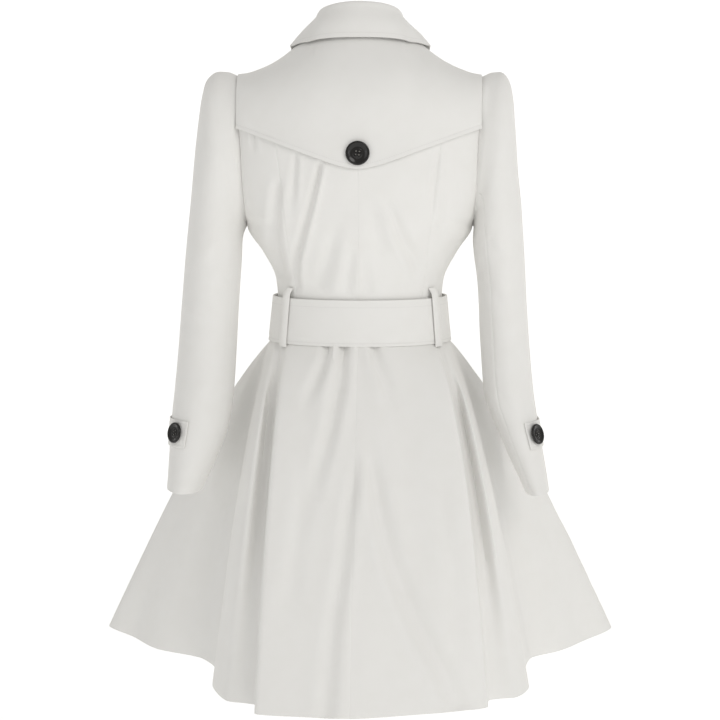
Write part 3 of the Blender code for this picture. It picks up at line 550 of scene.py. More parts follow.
def makeWool():  # brushed ivory wool: slow mottling, downward nap and short fibres
    s = woolSettings
    material, tree, shader = newMaterial("ivory_wool_cloth")
    place = addNode(tree, "TexCoord")
    stretch = addNode(tree, "Mapping", ["Scale"], [s["napScale"]])
    mottle, nap, fibre = (addNoise(tree, s[name]) for name in ("mottle", "nap", "fibre"))
    tint = addTint(tree, s["shade"], s["colour"])
    spread = addRange(tree, s["tintFrom"], s["tintTo"])
    mixed = addNode(tree, "Math", [1], [s["napShare"]])
    mixed.operation = "MULTIPLY_ADD"
    napBump, mottleBump = (addNode(tree, "Bump", ("Strength", "Distance"), s[name])
                           for name in ("napBump", "mottleBump"))
    connect(tree, (place, "UV", stretch, "Vector"), (stretch, "Vector", nap, "Vector"),
            (place, "Object", mottle, "Vector"), (place, "Object", fibre, "Vector"),
            (mottle, "Fac", spread, "Value"), (spread, "Result", tint, "Fac"), (tint, "Color", shader, "Base Color"),
            (nap, "Fac", mixed, 0), (fibre, "Fac", mixed, 2), (mixed, "Value", napBump, "Height"),
            (mottle, "Fac", mottleBump, "Height"), (napBump, "Normal", mottleBump, "Normal"),
            (mottleBump, "Normal", shader, "Normal"))
    setInputs(shader, ("Roughness", "Specular IOR Level", "Sheen Weight", "Sheen Roughness", "Sheen Tint"),
              (s["roughness"], s["specular"], s["sheen"], s["sheenRoughness"], s["sheenTint"]))
    return material


def makeButtonBlack():  # polished black resin, a little scuffed
    s = buttonSettings
    material, tree, shader = newMaterial("black_button_resin")
    place = addNode(tree, "TexCoord")
    grain = addNoise(tree, s["grain"])
    tint = addTint(tree, s["colour"], s["worn"])
    gloss = addRange(tree, s["glossFrom"], s["glossTo"])
    connect(tree, (place, "Object", grain, "Vector"), (grain, "Fac", tint, "Fac"), (grain, "Fac", gloss, "Value"),
            (tint, "Color", shader, "Base Color"), (gloss, "Result", shader, "Roughness"))
    setInputs(shader, ["Specular IOR Level"], [s["specular"]])
    return material


def makeThread(name, colour):  # twisted sewing thread
    s = threadSettings
    material, tree, shader = newMaterial(name)
    place = addNode(tree, "TexCoord")
    twist = addNoise(tree, s["twist"])
    tint = addTint(tree, tuple(s["dark"] * c for c in colour[:3]) + (1,), colour)
    connect(tree, (place, "Object", twist, "Vector"), (twist, "Fac", tint, "Fac"),
            (tint, "Color", shader, "Base Color"))
    setInputs(shader, ["Roughness"], [s["roughness"]])
    return material


wool = makeWool()
buttonBlack = makeButtonBlack()
seamThread = makeThread("ivory_seam_thread", woolSettings["colour"])
buttonThread = makeThread("grey_button_thread", threadSettings["colour"])
print("finishes made")


# bodice panels

backCreases = [
    ([(52, -158), (58, -183), (64, -207), (72, -235), (82, -270), (91, -302), (97, -338)],
     5.0, 5.6, 0.25, 0.06, 0.12),
    ([(87, -144), (90, -179), (93, -207), (101, -245)], 5.0, 3.2, 0.20, 0.10, 0.45),
    ([(149, -118), (150, -132), (151, -155)], 4.0, 2.6, 0.15, 0.10, 0.60),
    ([(112, -174), (116, -203), (119, -235), (121, -271), (116, -306), (107, -345)], 8.0, 5.0, 0.10, 0.25, 0.10),
    ([(24, -239), (35, -270), (45, -302), (60, -345)], 10.0, 3.4, 0.12, 0.45, 0.05),
    ([(82, -302), (87, -320), (91, -348)], 4.5, 2.4, 0.10, 0.40, 0.05),
    ([(7, -279), (11, -302), (18, -350)], 6.5, 2.4, 0.10, 0.45, 0.05),
    ([(-31, -200), (-48, -231), (-62, -267), (-82, -304), (-88, -338)], 8.0, 4.4, -0.15, 0.35, 0.20),
    ([(-14, -205), (-28, -262), (-38, -318)], 12.0, 2.4, -0.05, 0.45, 0.40),
    ([(-5, -292), (-11, -322), (-14, -352)], 6.0, 1.2, 0.05, 0.50, 0.10),
    ([(-114, -136), (-107, -200), (-100, -262)], 4.5, 2.6, 0.10, 0.12, 0.45),
    ([(-126, -176), (-124, -230), (-112, -290)], 8.0, 1.8, 0.10, 0.40, 0.40),
]
frontCreases = [
    ([(62, -246), (78, -300), (95, -348)], 9.0, 2.4, 0.10, 0.40, 0.15),
    ([(-58, -238), (-80, -302), (-98, -350)], 10.0, 2.1, -0.10, 0.40, 0.15),
    ([(124, -196), (120, -252), (108, -306)], 8.0, 2.0, 0.08, 0.35, 0.35),
    ([(-122, -204), (-117, -256), (-104, -316)], 7.5, 1.8, -0.08, 0.35, 0.35),
    ([(26, -292), (33, -352)], 7.0, 1.3, 0.05, 0.50, 0.10),
    ([(-34, -300), (-42, -352)], 6.5, 1.2, 0.05, 0.50, 0.10),
    ([(98, -52), (112, -104), (119, -150)], 12.0, 1.4, 0.05, 0.40, 0.50),
    ([(-94, -58), (-110, -118), (-121, -158)], 11.0, 1.2, 0.05, 0.40, 0.50),
]


def makeBodice():
    waist = bodice["levels"][0][0]
    plans = [
        ("back_centre", "back", lambda h: (0, princessShare(h)), 1, backCreases,
         {"first": 0.35, "last": 0.5, "top": 0.5, "bottom": 0.5}),
        ("back_side", "back", lambda h: (princessShare(h), 1), 1, backCreases,
         {"first": 0.5, "last": 0.8, "top": 0.5, "bottom": 0.5}),
        ("front", "front", lambda h: (-shareAt("front", bodice["lap"], h), 1), -1, frontCreases,
         {"last": 0.8, "top": 0.5, "bottom": 0.5}),
    ]
    for label, side, edges, facing, creases, seams in plans:
        grid, _ = panelGrid(lambda u, v: bodySurface(side, u, v), edges, bodice["topTrim"], waist, bodice["spacing"])
        for hand, sign in hands:
            points = grid * [sign, 1, 1]
            sink = 0
            if label == "front" and hand == "left":
                sink = -bodice["lapSink"] * (1 - ease(bodice["lapFull"], bodice["lapStart"], points[..., 0]))
            makeCloth(f"{label}_{hand}", points, facing * sign, bodice["cloth"], seams, creases=creases,
                      face=facing, lift=sink,
                      rolled="" if label == "back_centre" else "last")


# sleeves

sleeveCreases = {
    "left": [([(190, -268), (205, -300), (228, -318)], 9.0, 1.6, 0.05, 0.10, 0.60),
             ([(186, -330), (206, -352), (232, -362)], 11.0, 1.5, 0.05, 0.15, 0.60),
             ([(262, -380), (236, -402), (204, -410)], 13.0, 1.3, 0.05, 0.20, 0.60),
             ([(192, -470), (214, -500), (226, -540)], 10.0, 1.4, 0.05, 0.15, 0.60)],
    "right": [([(-184, -268), (-200, -296), (-220, -312)], 9.0, 1.4, 0.05, 0.10, 0.60),
              ([(-182, -336), (-204, -356), (-226, -364)], 11.0, 1.2, 0.05, 0.15, 0.60),
              ([(-246, -392), (-222, -412), (-198, -418)], 12.0, 1.1, 0.05, 0.20, 0.60),
              ([(-196, -480), (-214, -512), (-222, -548)], 10.0, 1.2, 0.05, 0.15, 0.60)],
}


def makeSleeves():
    last = len(sleeve["rings"])
    for arm, sign in hands:
        plans = [("sleeve_top", sleeve["backSeam"][arm], sleeve["frontSeam"]),
                 ("sleeve_under", sleeve["frontSeam"] - 360, sleeve["backSeam"][arm])]
        seams = {"first": sleeve["seamDrop"][arm], "last": sleeve["seamDrop"][arm], "top": sleeve["headDrop"]}
        for label, start, end in plans:
            grid, _ = panelGrid(lambda u, v: sleeveSurface(arm, u, v), lambda v: (start, end), 0, last,
                                sleeve["spacing"], -sleeve["overlap"])
            inward = unit(grid[0] * [-1, -1, 0])
            for row, far in enumerate(sleeve["tuck"]):  # the head turned in under the armhole's edge
                grid[row] += inward * far
            makeCloth(f"{label}_{arm}", grid * [sign, 1, 1], sign, sleeve["cloth"], seams, creases=sleeveCreases[arm],
                      rolled="top")


# skirt panels

skirtCreases = [
    ([(44, -423), (48, -441), (59, -468), (70, -494), (81, -530)], 7.5, 6.0, 0.15, 0, 0.55),
    ([(20, -423), (23, -444), (25, -467), (30, -494), (41, -546), (56, -598), (70, -651), (89, -704)],
     9.0, 7.2, 0.12, 0, 0.55),
    ([(-2, -540), (4, -598), (12, -651), (17, -703), (25, -756), (32, -809), (36, -862), (40, -908)],
     9.0, 5.2, 0.15, 0.22, 0),
    ([(-23, -423), (-27, -441), (-40, -467), (-49, -493), (-59, -526)], 8.5, 5.0, -0.10, 0, 0.60),
    ([(-9, -526), (-25, -598), (-36, -651), (-49, -703), (-69, -755), (-95, -808), (-125, -861), (-142, -906)],
     12.5, 8.0, -0.10, 0.20, 0),
    ([(-114, -578), (-121, -624), (-128, -676), (-138, -729), (-146, -807), (-150, -888)],
     12.0, 2.4, -0.05, 0.45, 0.30),
    ([(74, -546), (78, -625), (87, -730), (94, -809)], 10.0, 2.2, 0.05, 0.40, 0.40),
    ([(300, -640), (330, -760), (352, -890)], 20.0, 4.0, 0.05, 0.50, 0),
    ([(-296, -650), (-322, -770), (-340, -890)], 20.0, 3.4, -0.05, 0.50, 0),
]
skirtFrontCreases = [
    ([(48, -425), (64, -490), (84, -580)], 9.0, 3.4, 0.08, 0, 0.65),
    ([(-52, -425), (-66, -496), (-80, -590)], 9.0, 3.2, -0.08, 0, 0.65),
    ([(24, -425), (28, -480), (36, -560)], 8.0, 2.4, 0.05, 0, 0.70),
    ([(118, -560), (150, -700), (176, -915)], 20.0, 5.0, 0.06, 0.45, 0),
    ([(-112, -550), (-146, -690), (-180, -915)], 22.0, 5.4, -0.06, 0.45, 0),
    ([(40, -600), (54, -740), (62, -915)], 18.0, 3.6, 0.05, 0.50, 0),
    ([(-70, -620), (-86, -760), (-96, -915)], 17.0, 3.4, 0.05, 0.50, 0),
    ([(250, -640), (290, -770), (330, -895)], 20.0, 4.4, 0.05, 0.50, 0),
    ([(-246, -630), (-288, -766), (-326, -895)], 21.0, 4.0, 0.05, 0.50, 0),
]


def makeSkirt():
    skirtSeams = {"first": 0.35, "last": 0.35, "top": 0.5}
    plans = [
        ("skirt_front_right", "frontLapRight", "frontTurnRight", {"last": 0.5, "top": 0.5}, skirtFrontCreases),
        ("skirt_side_right", "frontTurnRight", "insideBRight", skirtSeams, skirtCreases),
        ("skirt_pleat_right", "insideBRight", "insideARight", skirtSeams, []),
        ("skirt_back_right", "insideARight", "centreBack", skirtSeams, skirtCreases),
        ("skirt_back_left", "centreBack", "insideALeft", skirtSeams, skirtCreases),
        ("skirt_pleat_left", "insideALeft", "insideBLeft", skirtSeams, []),
        ("skirt_side_left", "insideBLeft", "frontTurnLeft", skirtSeams, skirtCreases),
        ("skirt_front_left", "frontTurnLeft", "frontLapLeft", {"first": 0.5, "top": 0.5}, skirtFrontCreases),
    ]
    lapStart = foldNames.index("frontLeft")
    for name, first, last, seams, creases in plans:
        start, end = foldNames.index(first), foldNames.index(last)
        grid, place = panelGrid(skirtSurface, lambda v: (start, end), skirt["topTrim"], 1, skirt["spacing"])
        sink = 0
        if name == "skirt_front_left":  # it passes under the other front
            sink = -skirt["lapSink"] * ease(lapStart - skirt["lapEase"], lapStart, place)
        if "pleat" in name:
            runs = edgeRuns(grid)
            down = runs["top"] / runs["top"].max()
            hand = name.split("_")[-1]
            beside = runs["first" if hand == "left" else "last"]
            across = np.exp(-((beside - skirt["slitPlace"]) / skirt["slitWide"]) ** 2)
            sink = -skirt["slitDeep"][hand] * across * growsAndFades("slit", down)
        makeCloth(name, grid, 1, skirt["cloth"], seams, creases=creases, face=-1 if "front" in name else 1,
                  lift=sink)


# collar

collar = {
    "end": 174, "foldX": 60, "foldBack": 54, "foldFront": 66, "foldBackZ": 62, "foldSideZ": 42, "foldFrontZ": 4,
    "backShape": 0.75, "standGap": 0.9, "edgeX": 98, "edgeBackZ": 11, "edgeSideZ": -5, "pointZ": -66,
    "edgeShape": 1.3, "edgeSpread": 0.6, "lift": 8.0, "bulge": 2.5,
    "turnOver": 0.22, "overRise": 6, "smooth": 16, "smoothFrom": (4, 40),
    "roll": [(-2.4, 2.8), (0.2, 4.0), (3.0, 2.8), (5.2, -3.0)],  # out and up, over the top of the stand
    "cloth": 2.2, "spacing": 3.6, "stitch": 6.5, "halvings": 36, "probe": 1,
}


def softPath(knots, at):  # the same cubic through whole rows of points
    knots = np.stack(knots)
    rise = np.diff(knots, axis=0)
    both = rise[:-1] * rise[1:]
    total = np.where(both > 0, rise[:-1] + rise[1:], 1)
    slope = np.concatenate([rise[:1], np.where(both > 0, 2 * both / total, 0), rise[-1:]])
    k = np.clip(np.floor(at).astype(int), 0, len(knots) - 2)
    t = (at - k)[..., None]
    at0, at1, slope0, slope1 = (np.take_along_axis(a, k[None, ..., None], axis=0)[0]
                                for a in (knots[:-1], knots[1:], slope[:-1], slope[1:]))
    start = at0 * (1 + 2 * t) * (1 - t) ** 2 + slope0 * t * (1 - t) ** 2
    return start + at1 * t * t * (3 - 2 * t) + slope1 * t * t * (t - 1)


def ovalPoint(turn, half, back, front):
    angle = np.radians(turn)
    across = np.cos(angle)
    return half * np.sin(angle), np.where(across > 0, back, front) * across, np.abs(across)


def neckRing(turn):
    x, y, size = ovalPoint(turn, bodice["neckHalf"], bodice["neckBack"], bodice["neckFront"])
    drop = np.where(y > 0, 0, bodice["neckDrop"] * size ** bodice["neckShape"])
    return vec(x, y, bodice["neckLevel"] - drop)


def foldRing(turn):
    c = collar
    x, y, size = ovalPoint(turn, c["foldX"], c["foldBack"], c["foldFront"])
    rise = np.where(y > 0, (c["foldBackZ"] - c["foldSideZ"]) * size ** c["backShape"],
                    (c["foldFrontZ"] - c["foldSideZ"]) * size ** bodice["neckShape"])
    return vec(x, y, c["foldSideZ"] + rise)


def standSurface(turn, down):
    turn, down = pair(turn, down)
    return between(foldRing(turn), neckRing(turn) + [0, 0, collar["standGap"]], down)


def heightOn(side, share, z):  # the height at which the panel reaches level z
    low, high = np.full(share.shape, float(bodice["yoke"])), np.zeros(share.shape)
    for _ in range(collar["halvings"]):
        middle = (low + high) / 2
        below = bodySurface(side, share, middle)[..., 2] < z
        low, high = np.where(below, middle, low), np.where(below, high, middle)
    return low


def fallEdge(turn):  # the fall's lower edge, made from the panel under it and moved out
    c = collar
    x, y, size = ovalPoint(turn, 1, 1, 1)
    spread = np.where(y > 0, x, np.sign(x) * np.abs(x) ** c["edgeSpread"])
    drop = np.where(y > 0, c["edgeBackZ"] - c["edgeSideZ"], c["pointZ"] - c["edgeSideZ"])
    level = c["edgeSideZ"] + drop * size ** c["edgeShape"]
    found = []
    for side in ("back", "front"):
        share = shareAt(side, c["edgeX"] * spread, 0.0 * spread)
        height = heightOn(side, share, level)
        found.append(bodySurface(side, share, height) + bodyOut(side, share, height - c["probe"]) * c["lift"])
    behind = ease(-c["turnOver"], c["turnOver"], y)[..., None]  # the edge passes over the shoulder
    over = 4 * behind * (1 - behind) * [0, 0, c["overRise"]]
    return found[0] * behind + found[1] * (1 - behind) + over


def fallSurface(turn, down):
    turn, down = pair(turn, down)
    fold, edge = foldRing(turn), fallEdge(turn)
    deep = np.where(fold[..., 1] > 0, collar["foldBack"], collar["foldFront"])
    out = unit(vec(fold[..., 0] / collar["foldX"] ** 2, fold[..., 1] / deep ** 2, 0 * turn))
    knots = [fold + out * away + [0, 0, up] for away, up in collar["roll"]]
    knots += [(knots[-1] + edge) / 2 + out * collar["bulge"], edge]
    return softPath(knots, down)


def makeCollar():
    ends = lambda v: (-collar["end"], collar["end"])
    stand, _ = panelGrid(standSurface, ends, 0, 1, collar["spacing"], 0)
    makeCloth("collar_stand", stand, 1, collar["cloth"])
    fall, _ = panelGrid(fallSurface, ends, 0, len(collar["roll"]) + 1, collar["spacing"], 0)
    fall = evenAcross(fall, collar)
    stitched = {"bottom": collar["stitch"], "first": collar["stitch"], "last": collar["stitch"]}
    shaped, normal = makeCloth("collar_fall", fall, 1, collar["cloth"], stitched=stitched)
    makeStitches("collar_stitching", shaped, normal, stitched)


# storm flap

flap = {
    "top": -5, "pointZ": -175, "endZ": -114, "endX": 172, "short": 1.6, "gap": 0.8, "cloth": 2.0, "spacing": 4.0,
    "edgeLift": 2.4, "liftSoft": 16, "stitch": 6.0, "smooth": 70, "smoothFrom": (1, 30), "topDrop": 1.8,
}


def flapSurface(share, down):  # lies on the back from its top edge to its pointed lower edge
    share, down = pair(share, down)
    away = np.abs(bodySurface("back", share, bodice["yoke"])[..., 0])
    low = flap["pointZ"] + (flap["endZ"] - flap["pointZ"]) * away / flap["endX"]
    return bodySurface("back", share, flap["top"] + (low - flap["top"]) * down)


def makeFlap():
    reach = 1 - flap["short"] / flap["endX"]
    grid, _ = panelGrid(flapSurface, lambda v: (-reach, reach), 0, 1, flap["spacing"], 0)
    grid = evenAcross(grid, flap)  # the neck corner is not felt through the flap
    lift = flap["gap"] + flap["cloth"] + flap["edgeLift"] * np.exp(-edgeRuns(grid)["bottom"] / flap["liftSoft"])
    stitched = {"bottom": flap["stitch"]}
    shaped, normal = makeCloth("storm_flap", grid, 1, flap["cloth"], {"top": flap["topDrop"]}, stitched,
                               lift=lift)
    makeStitches("flap_stitching", shaped, normal, stitched)


# belt and loops

belt = {
    "top": -358, "topX": 125, "topBack": 84, "topFront": 97, "start": -186, "end": 202, "step": 3.6,
    "stepStart": 148, "stepFull": 168, "lay": 0.4, "cloth": 3.0, "spacing": 4.0, "line": 10.5, "stitch": 4.5,
}
loops = {
    "left": 54, "right": -58, "width": 14, "gap": 0.9, "top": -344, "foot": -428, "crown": 2.0,
    "path": [(0, 0, 5), (0.12, 0.8, 0), (0.5, 0.8, 0), (0.95, 0.4, 0)],  # down the belt, out and up
    "cloth": 2.0, "spacing": 2.0,
}


def beltSurface(turn, down):  # the belt's inner face
    turn, down = pair(turn, down)
    b = belt
    angle = np.radians(turn)
    x, topY, _ = ovalPoint(turn, 1, b["topBack"], b["topFront"])
    _, lowY, _ = ovalPoint(turn, 1, skirt["hipBack"] + b["lay"], skirt["hipFront"] + b["lay"])
    top = vec(b["topX"] * x, topY, b["top"])
    low = vec((skirt["hipX"] + b["lay"]) * x, lowY, skirt["hip"])
    out = vec(x, np.cos(angle), 0 * x) * (b["step"] * ease(b["stepStart"], b["stepFull"], turn))[..., None]
    return between(top, low, down) + out


def makeBelt():
    grid, _ = panelGrid(beltSurface, lambda v: (belt["start"], belt["end"]), 0, 1, belt["spacing"], 0)
    stitched = {"top": belt["line"], "bottom": belt["stitch"]}
    shaped, normal = makeCloth("belt", grid, 1, belt["cloth"], stitched=stitched, lift=belt["cloth"])
    makeStitches("belt_stitching", shaped, normal, stitched)


def loopSurface(turn, down):  # from the bodice over the belt to the skirt
    turn, down = pair(turn, down)
    angle = np.radians(turn)
    side = np.sign(turn)[..., None] * [1, 0, 0] + [0, 1, 1]
    top = bodySurface("back", np.abs(turn) / 90, loops["top"]) * side
    place = np.interp(turn, columnOf(folds, 1), range(len(folds)))
    foot = skirtSurface(place, (loops["foot"] - skirt["hip"]) / (skirt["hem"] - skirt["hip"]))
    out = vec(np.sin(angle), np.cos(angle), 0 * angle)
    clear = belt["cloth"] + belt["lay"]
    over = [beltSurface(turn, share) + out * (clear + away) + [0, 0, up] for share, away, up in loops["path"]]
    return softPath([top + out * loops["gap"]] + over + [foot + out * loops["gap"]], down)


def makeLoops():
    for hand in ("left", "right"):
        nearBy = beltSurface(np.array([-0.5, 0.5]) + loops[hand], 0.5)
        speed = np.linalg.norm(nearBy[1] - nearBy[0])  # millimetres for each degree
        half = loops["width"] / 2 / speed
        edges = lambda v: (loops[hand] - half, loops[hand] + half)
        grid, _ = panelGrid(loopSurface, edges, 0, len(loops["path"]) + 1, loops["spacing"], 0)
        runs = edgeRuns(grid)
        share = runs["first"] / (runs["first"] + runs["last"])
        crown = loops["crown"] * np.sin(np.pi * share)
        makeCloth("belt_loop_" + hand, grid, 1, loops["cloth"], lift=loops["cloth"] + crown)


# cuff tabs

tab = {
    "topRing": 10.87, "lowRing": 11.64, "back": 107, "front": 236,
    "gap": 0.8, "cloth": 2.0, "spacing": 2.6, "stitch": 4.0,
}


def makeTabs():
    for arm, sign in hands:
        grid, _ = panelGrid(lambda u, v: sleeveSurface(arm, u, v), lambda v: (tab["back"], tab["front"]),
                            tab["topRing"], tab["lowRing"], tab["spacing"], 0)
        stitched = {edge: tab["stitch"] for edge in ("first", "last", "top", "bottom")}
        shaped, normal = makeCloth("cuff_tab_" + arm, grid * [sign, 1, 1], sign, tab["cloth"], stitched=stitched,
                                   lift=tab["gap"] + tab["cloth"])
        makeStitches(f"cuff_tab_stitching_{arm}", shaped, normal, stitched)


# stitching: short rounded stitches in rows a set distance from an edge

stitch = {
    "length": 2.7, "pitch": 3.5, "wide": 0.6, "high": 0.45, "sides": 6, "rings": 4, "proud": 0.05,
    "ahead": 0.8, "cornerSlack": 0.3,
}


def stitchShape():  # one stitch, modelled once
    bpy.ops.object.select_all(action="DESELECT")
    bpy.ops.mesh.primitive_uv_sphere_add(segments=stitch["sides"], ring_count=stitch["rings"], radius=0.5)
    ball = bpy.context.object
    shape = np.array([v.co[:] for v in ball.data.vertices])[:, [2, 0, 1]]
    faces = [list(p.vertices) for p in ball.data.polygons]
    bpy.data.objects.remove(ball)
    return shape * [stitch["length"], stitch["wide"], stitch["high"]], faces


def stitchLine(points, normal, edge, stitched):  # the line that lies a set distance in from one edge
    runs = edgeRuns(points)
    if edge in ("first", "last"):
        points, normal = points.transpose(1, 0, 2), normal.transpose(1, 0, 2)
        runs = {name: run.T for name, run in runs.items()}
    ends = ("top", "bottom") if edge in ("first", "last") else ("first", "last")
    line = []
    for k in range(points.shape[1]):
        run = runs[edge][:, k]
        order = np.argsort(run)
        spot = [np.interp(stitched[edge], run[order], values[order, k, axis])
                for values in (points, normal) for axis in range(3)]
        toEnds = [np.interp(stitched[edge], run[order], runs[end][order, k]) for end in ends]
        if all(far >= stitched.get(end, 0) - stitch["cornerSlack"] for far, end in zip(toEnds, ends)):
            line.append(spot)
    return np.array(line)


def makeStitches(name, points, normal, stitched):
    shape, faces = stitchShape()
    verts, corners = [], []
    for edge in stitched:
        line = stitchLine(points, normal, edge, stitched)
        run = runLength(line[None, :, :3], 1)[0]
        for at in np.arange(stitch["pitch"] / 2, run[-1] - stitch["length"] / 2, stitch["pitch"]):
            here, ahead = (np.array([np.interp(x, run, values) for values in line.T])
                           for x in (at, at + stitch["ahead"]))
            place, out = here[:3], here[3:]
            along = unit(ahead[:3] - place)
            side = unit(np.cross(out, along))
            turned = shape @ np.stack([along, side, np.cross(along, side)]) + place + out * stitch["proud"]
            corners += [[k + len(verts) * len(shape) for k in face] for face in faces]
            verts.append(turned * mm)
    piece = meshPiece(name, np.concatenate(verts).tolist(), [], corners)
    piece.data.shade_smooth()
    piece.data.materials.append(seamThread)
    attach(piece, "root")
    print(f"{name}: {len(verts)} stitches")


# buttons

button = {
    # share of the radius and height: dished middle, groove, round rim and foot
    "profile": [
        (0.001, 2.8), (0.34, 2.8), (0.38, 2.65), (0.42, 2.35), (0.50, 2.2), (0.57, 2.3), (0.63, 2.65), (0.71, 3.25),
        (0.79, 3.85), (0.85, 4.2), (0.90, 4.2), (0.955, 3.8), (0.99, 3.1), (1.0, 2.3), (0.985, 1.4), (0.94, 0.5),
        (0.88, 0.1), (0.80, 0.0), (0.001, 0.0)],
    "steps": 72, "weld": 0.05, "bevel": 0.25, "bevelSegments": 2, "sharp": 50, "large": 34, "small": 30, "seat": 1.0,
    "holes": 4, "holeRadius": 1.35, "holeCircle": 3.3, "holeSides": 20, "drill": 20, "turn": 38,
    "thread": 0.85, "threadDeep": 1.1, "threadSides": 16, "threadRings": 10, "threadFoot": 0.2, "threadDraw": 1.25,
}


def holeSpots(z):
    angles = [math.radians(button["turn"] + 360 * k / button["holes"]) for k in range(button["holes"])]
    far = button["holeCircle"] * mm
    return [(far * math.cos(angle), far * math.sin(angle), z * mm) for angle in angles]


def buttonBlank(name, diameter, place):  # the half section is spun, drilled and softened, then put in place
    points = [(share * diameter / 2 * mm, 0, high * mm) for share, high in button["profile"]]
    piece = meshPiece(name, points, [(k, k + 1) for k in range(len(points) - 1)], [])
    onlySelect(piece)
    bpy.ops.object.mode_set(mode="EDIT")
    bpy.ops.mesh.select_all(action="SELECT")
    bpy.ops.mesh.spin(steps=button["steps"], angle=2 * math.pi, center=(0, 0, 0), axis=(0, 0, 1))
    bpy.ops.mesh.select_all(action="SELECT")
    bpy.ops.mesh.remove_doubles(threshold=button["weld"] * mm)
    bpy.ops.mesh.normals_make_consistent(inside=False)
    bpy.ops.object.mode_set(mode="OBJECT")
    for spot in holeSpots(0):
        bpy.ops.object.select_all(action="DESELECT")
        bpy.ops.mesh.primitive_cylinder_add(vertices=button["holeSides"], radius=button["holeRadius"] * mm,
                                            depth=button["drill"] * mm, location=spot)
        drill = bpy.context.object
        addModifier(piece, "BOOLEAN", object=drill, operation="DIFFERENCE", solver="EXACT")
        bpy.data.objects.remove(drill)
    sharp = math.radians(button["sharp"])
    addModifier(piece, "BEVEL", width=button["bevel"] * mm, segments=button["bevelSegments"], limit_method="ANGLE",
                angle_limit=sharp)
    onlySelect(piece)
    bpy.ops.object.shade_smooth_by_angle(angle=sharp)
    piece.data.transform(place)
    return piece


def buttonThreads(name, place):  # thread standing in the four holes
    parts = []
    for spot in holeSpots(button["threadDeep"]):
        bpy.ops.object.select_all(action="DESELECT")
        bpy.ops.mesh.primitive_uv_sphere_add(segments=button["threadSides"], ring_count=button["threadRings"],
                                             radius=button["thread"] * mm, location=spot)
        bpy.ops.object.transform_apply(location=True)
        parts.append(bpy.context.object)
    for part in parts:
        part.select_set(True)
    bpy.context.view_layer.objects.active = parts[0]
    bpy.ops.object.join()
    piece = bpy.context.object
    piece.name = piece.data.name = name
    foot = button["threadFoot"] * mm
    for vertex in piece.data.vertices:  # each ball is drawn out into a short stem
        vertex.co.z = foot + max(vertex.co.z - foot, 0) * button["threadDraw"]
    bpy.ops.object.shade_smooth()
    piece.data.transform(place)
    return piece


def placeButton(node, diameter, point, normal, spin=0):
    out = Vector(normal)
    seat = Vector(point) * mm + out * button["seat"] * mm
    facing = out.to_track_quat("Z", "Y").to_matrix().to_4x4()
    place = Matrix.Translation(seat) @ facing @ Matrix.Rotation(math.radians(spin), 4, "Z")
    resin = buttonBlank(node + "_resin", diameter, place)
    threads = buttonThreads(node + "_thread", place)
    for piece, material in ((resin, buttonBlack), (threads, buttonThread)):
        piece.data.materials.clear()
        piece.data.materials.append(material)
        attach(piece, "root")
    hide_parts(node)


buttonPlaces = {
    "flapZ": -147, "frontZ": (-75, -180, -285), "frontSpin": 23,
    "cuffTurn": 132, "cuffRing": 11.25, "cuffNudge": (1.0, 0.05), "cuffSpin": 30,
    "beltDown": 0.5, "beltNudge": (0.5, 0.02), "beltSpin": 12,
}


def makeButtons():
    b = buttonPlaces
    out = bodyOut("back", 0, b["flapZ"])
    seat = bodySurface("back", 0, b["flapZ"]) + out * (flap["gap"] + flap["cloth"])
    placeButton("flap_button", button["large"], seat, out)
    for number, z in enumerate(b["frontZ"], start=1):
        out, seat = bodyOut("front", 0, z), bodySurface("front", 0, z)
        placeButton(f"front_button_{number}", button["large"], seat, out, b["frontSpin"] * number)
    for arm, sign in hands:
        cuff = lambda u, v: sleeveSurface(arm, u, v)
        out = outAt(cuff, b["cuffTurn"], b["cuffRing"], *b["cuffNudge"], 1)
        seat = cuff(b["cuffTurn"], b["cuffRing"]) + out * (tab["gap"] + tab["cloth"])
        seat, out = seat * [sign, 1, 1], out * [sign, 1, 1]
        placeButton("cuff_button_" + arm, button["small"], seat, out, b["cuffSpin"] * sign)
    middle = 180 + (belt["start"] + belt["end"]) / 2
    out = outAt(beltSurface, middle, b["beltDown"], *b["beltNudge"], 1)
    seat = beltSurface(middle, b["beltDown"]) + out * belt["cloth"]
    placeButton("belt_button", button["small"], seat, out, b["beltSpin"])
    print("buttons made")


# camera, floor and light

camera = {"place": (-0.085, 3.0, -0.07), "focal": 2050, "frame": 720, "sensor": 36, "tilt": 7.3}
studio = {
    "floor": -1.42, "wide": 8, "near": 7, "far": -4.5, "bend": 1.6, "high": 5, "rows": 48,
    "colour": (0.93, 0.93, 0.92, 1), "roughness": 0.9, "glow": 0.41, "glowColour": (1, 1, 1, 1),
    "sky": (1.0, 0.99, 0.97, 1), "skyStrength": 0.54, "aim": (0, 0, -0.4),
    "keyPlace": (-2.4, 3.8, 2.6), "keySize": (2.4, 2.4), "keyPower": 54, "keyColour": (1.0, 0.985, 0.96),
    # two tall strip lamps that gleam on the buttons
    "stripRightPlace": (-2.3, 2.3, 0.2), "stripRightSize": (0.3, 2.4), "stripRightPower": 8,
    "stripLeftPlace": (2.3, 2.3, 0.2), "stripLeftSize": (0.3, 2.4), "stripLeftPower": 4,
}


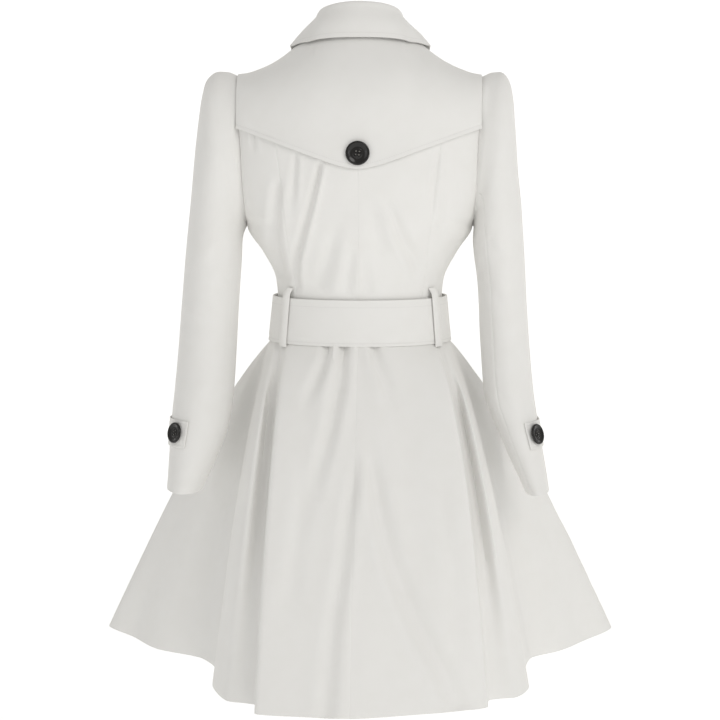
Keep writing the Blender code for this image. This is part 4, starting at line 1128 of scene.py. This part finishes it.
def makeCamera():
    yaw, tilt = math.atan2(-camera["place"][0], camera["place"][1]), math.radians(camera["tilt"])
    ahead = Vector((math.sin(yaw) * math.cos(tilt), -math.cos(yaw) * math.cos(tilt), -math.sin(tilt)))
    bpy.ops.object.camera_add(location=camera["place"], rotation=ahead.to_track_quat("-Z", "Y").to_euler())
    eye = bpy.context.object
    eye.data.sensor_width = camera["sensor"]
    eye.data.lens = camera["focal"] / camera["frame"] * camera["sensor"]
    bpy.context.scene.camera = eye


def makeFloor():  # a pale floor that sweeps up behind the coat
    bpy.ops.object.select_all(action="DESELECT")
    bpy.ops.mesh.primitive_grid_add(x_subdivisions=2, y_subdivisions=studio["rows"], size=2)
    floor = bpy.context.object
    floor.name = "floor"
    level, bend = studio["floor"], studio["bend"]
    flat, arc = studio["near"] - studio["far"], bend * math.pi / 2
    for vertex in floor.data.vertices:
        run = (1 - vertex.co.y) / 2 * (flat + arc + studio["high"])
        turn = min(max(run - flat, 0) / bend, math.pi / 2)
        rise = max(run - flat - arc, 0)
        y = studio["near"] - min(run, flat) - bend * math.sin(turn)
        vertex.co = (vertex.co.x * studio["wide"], y, level + bend * (1 - math.cos(turn)) + rise)
    bpy.ops.object.shade_smooth()
    material, _, shader = newMaterial("pale_floor")
    setInputs(shader, ("Base Color", "Roughness", "Emission Color", "Emission Strength"),
              (studio["colour"], studio["roughness"], studio["glowColour"], studio["glow"]))
    floor.data.materials.append(material)


def makeLight():
    world = bpy.data.worlds.new("soft_studio")
    world.use_nodes = True
    setInputs(world.node_tree.nodes["Background"], ("Color", "Strength"), (studio["sky"], studio["skyStrength"]))
    bpy.context.scene.world = world
    for label in ("key", "stripRight", "stripLeft"):
        place = Vector(studio[label + "Place"])
        aim = (Vector(studio["aim"]) - place).to_track_quat("-Z", "Y").to_euler()
        bpy.ops.object.light_add(type="AREA", location=place, rotation=aim)
        lamp = bpy.context.object
        lamp.name = label + "_light"
        lamp.data.shape = "RECTANGLE"
        lamp.data.size, lamp.data.size_y = studio[label + "Size"]
        lamp.data.energy = studio[label + "Power"]
        lamp.data.color = studio.get(label + "Colour", (1, 1, 1))


makeCamera()
makeBodice()
makeSleeves()
makeSkirt()
makeCollar()
makeFlap()
makeBelt()
makeLoops()
makeTabs()
makeButtons()
makeFloor()
makeLight()
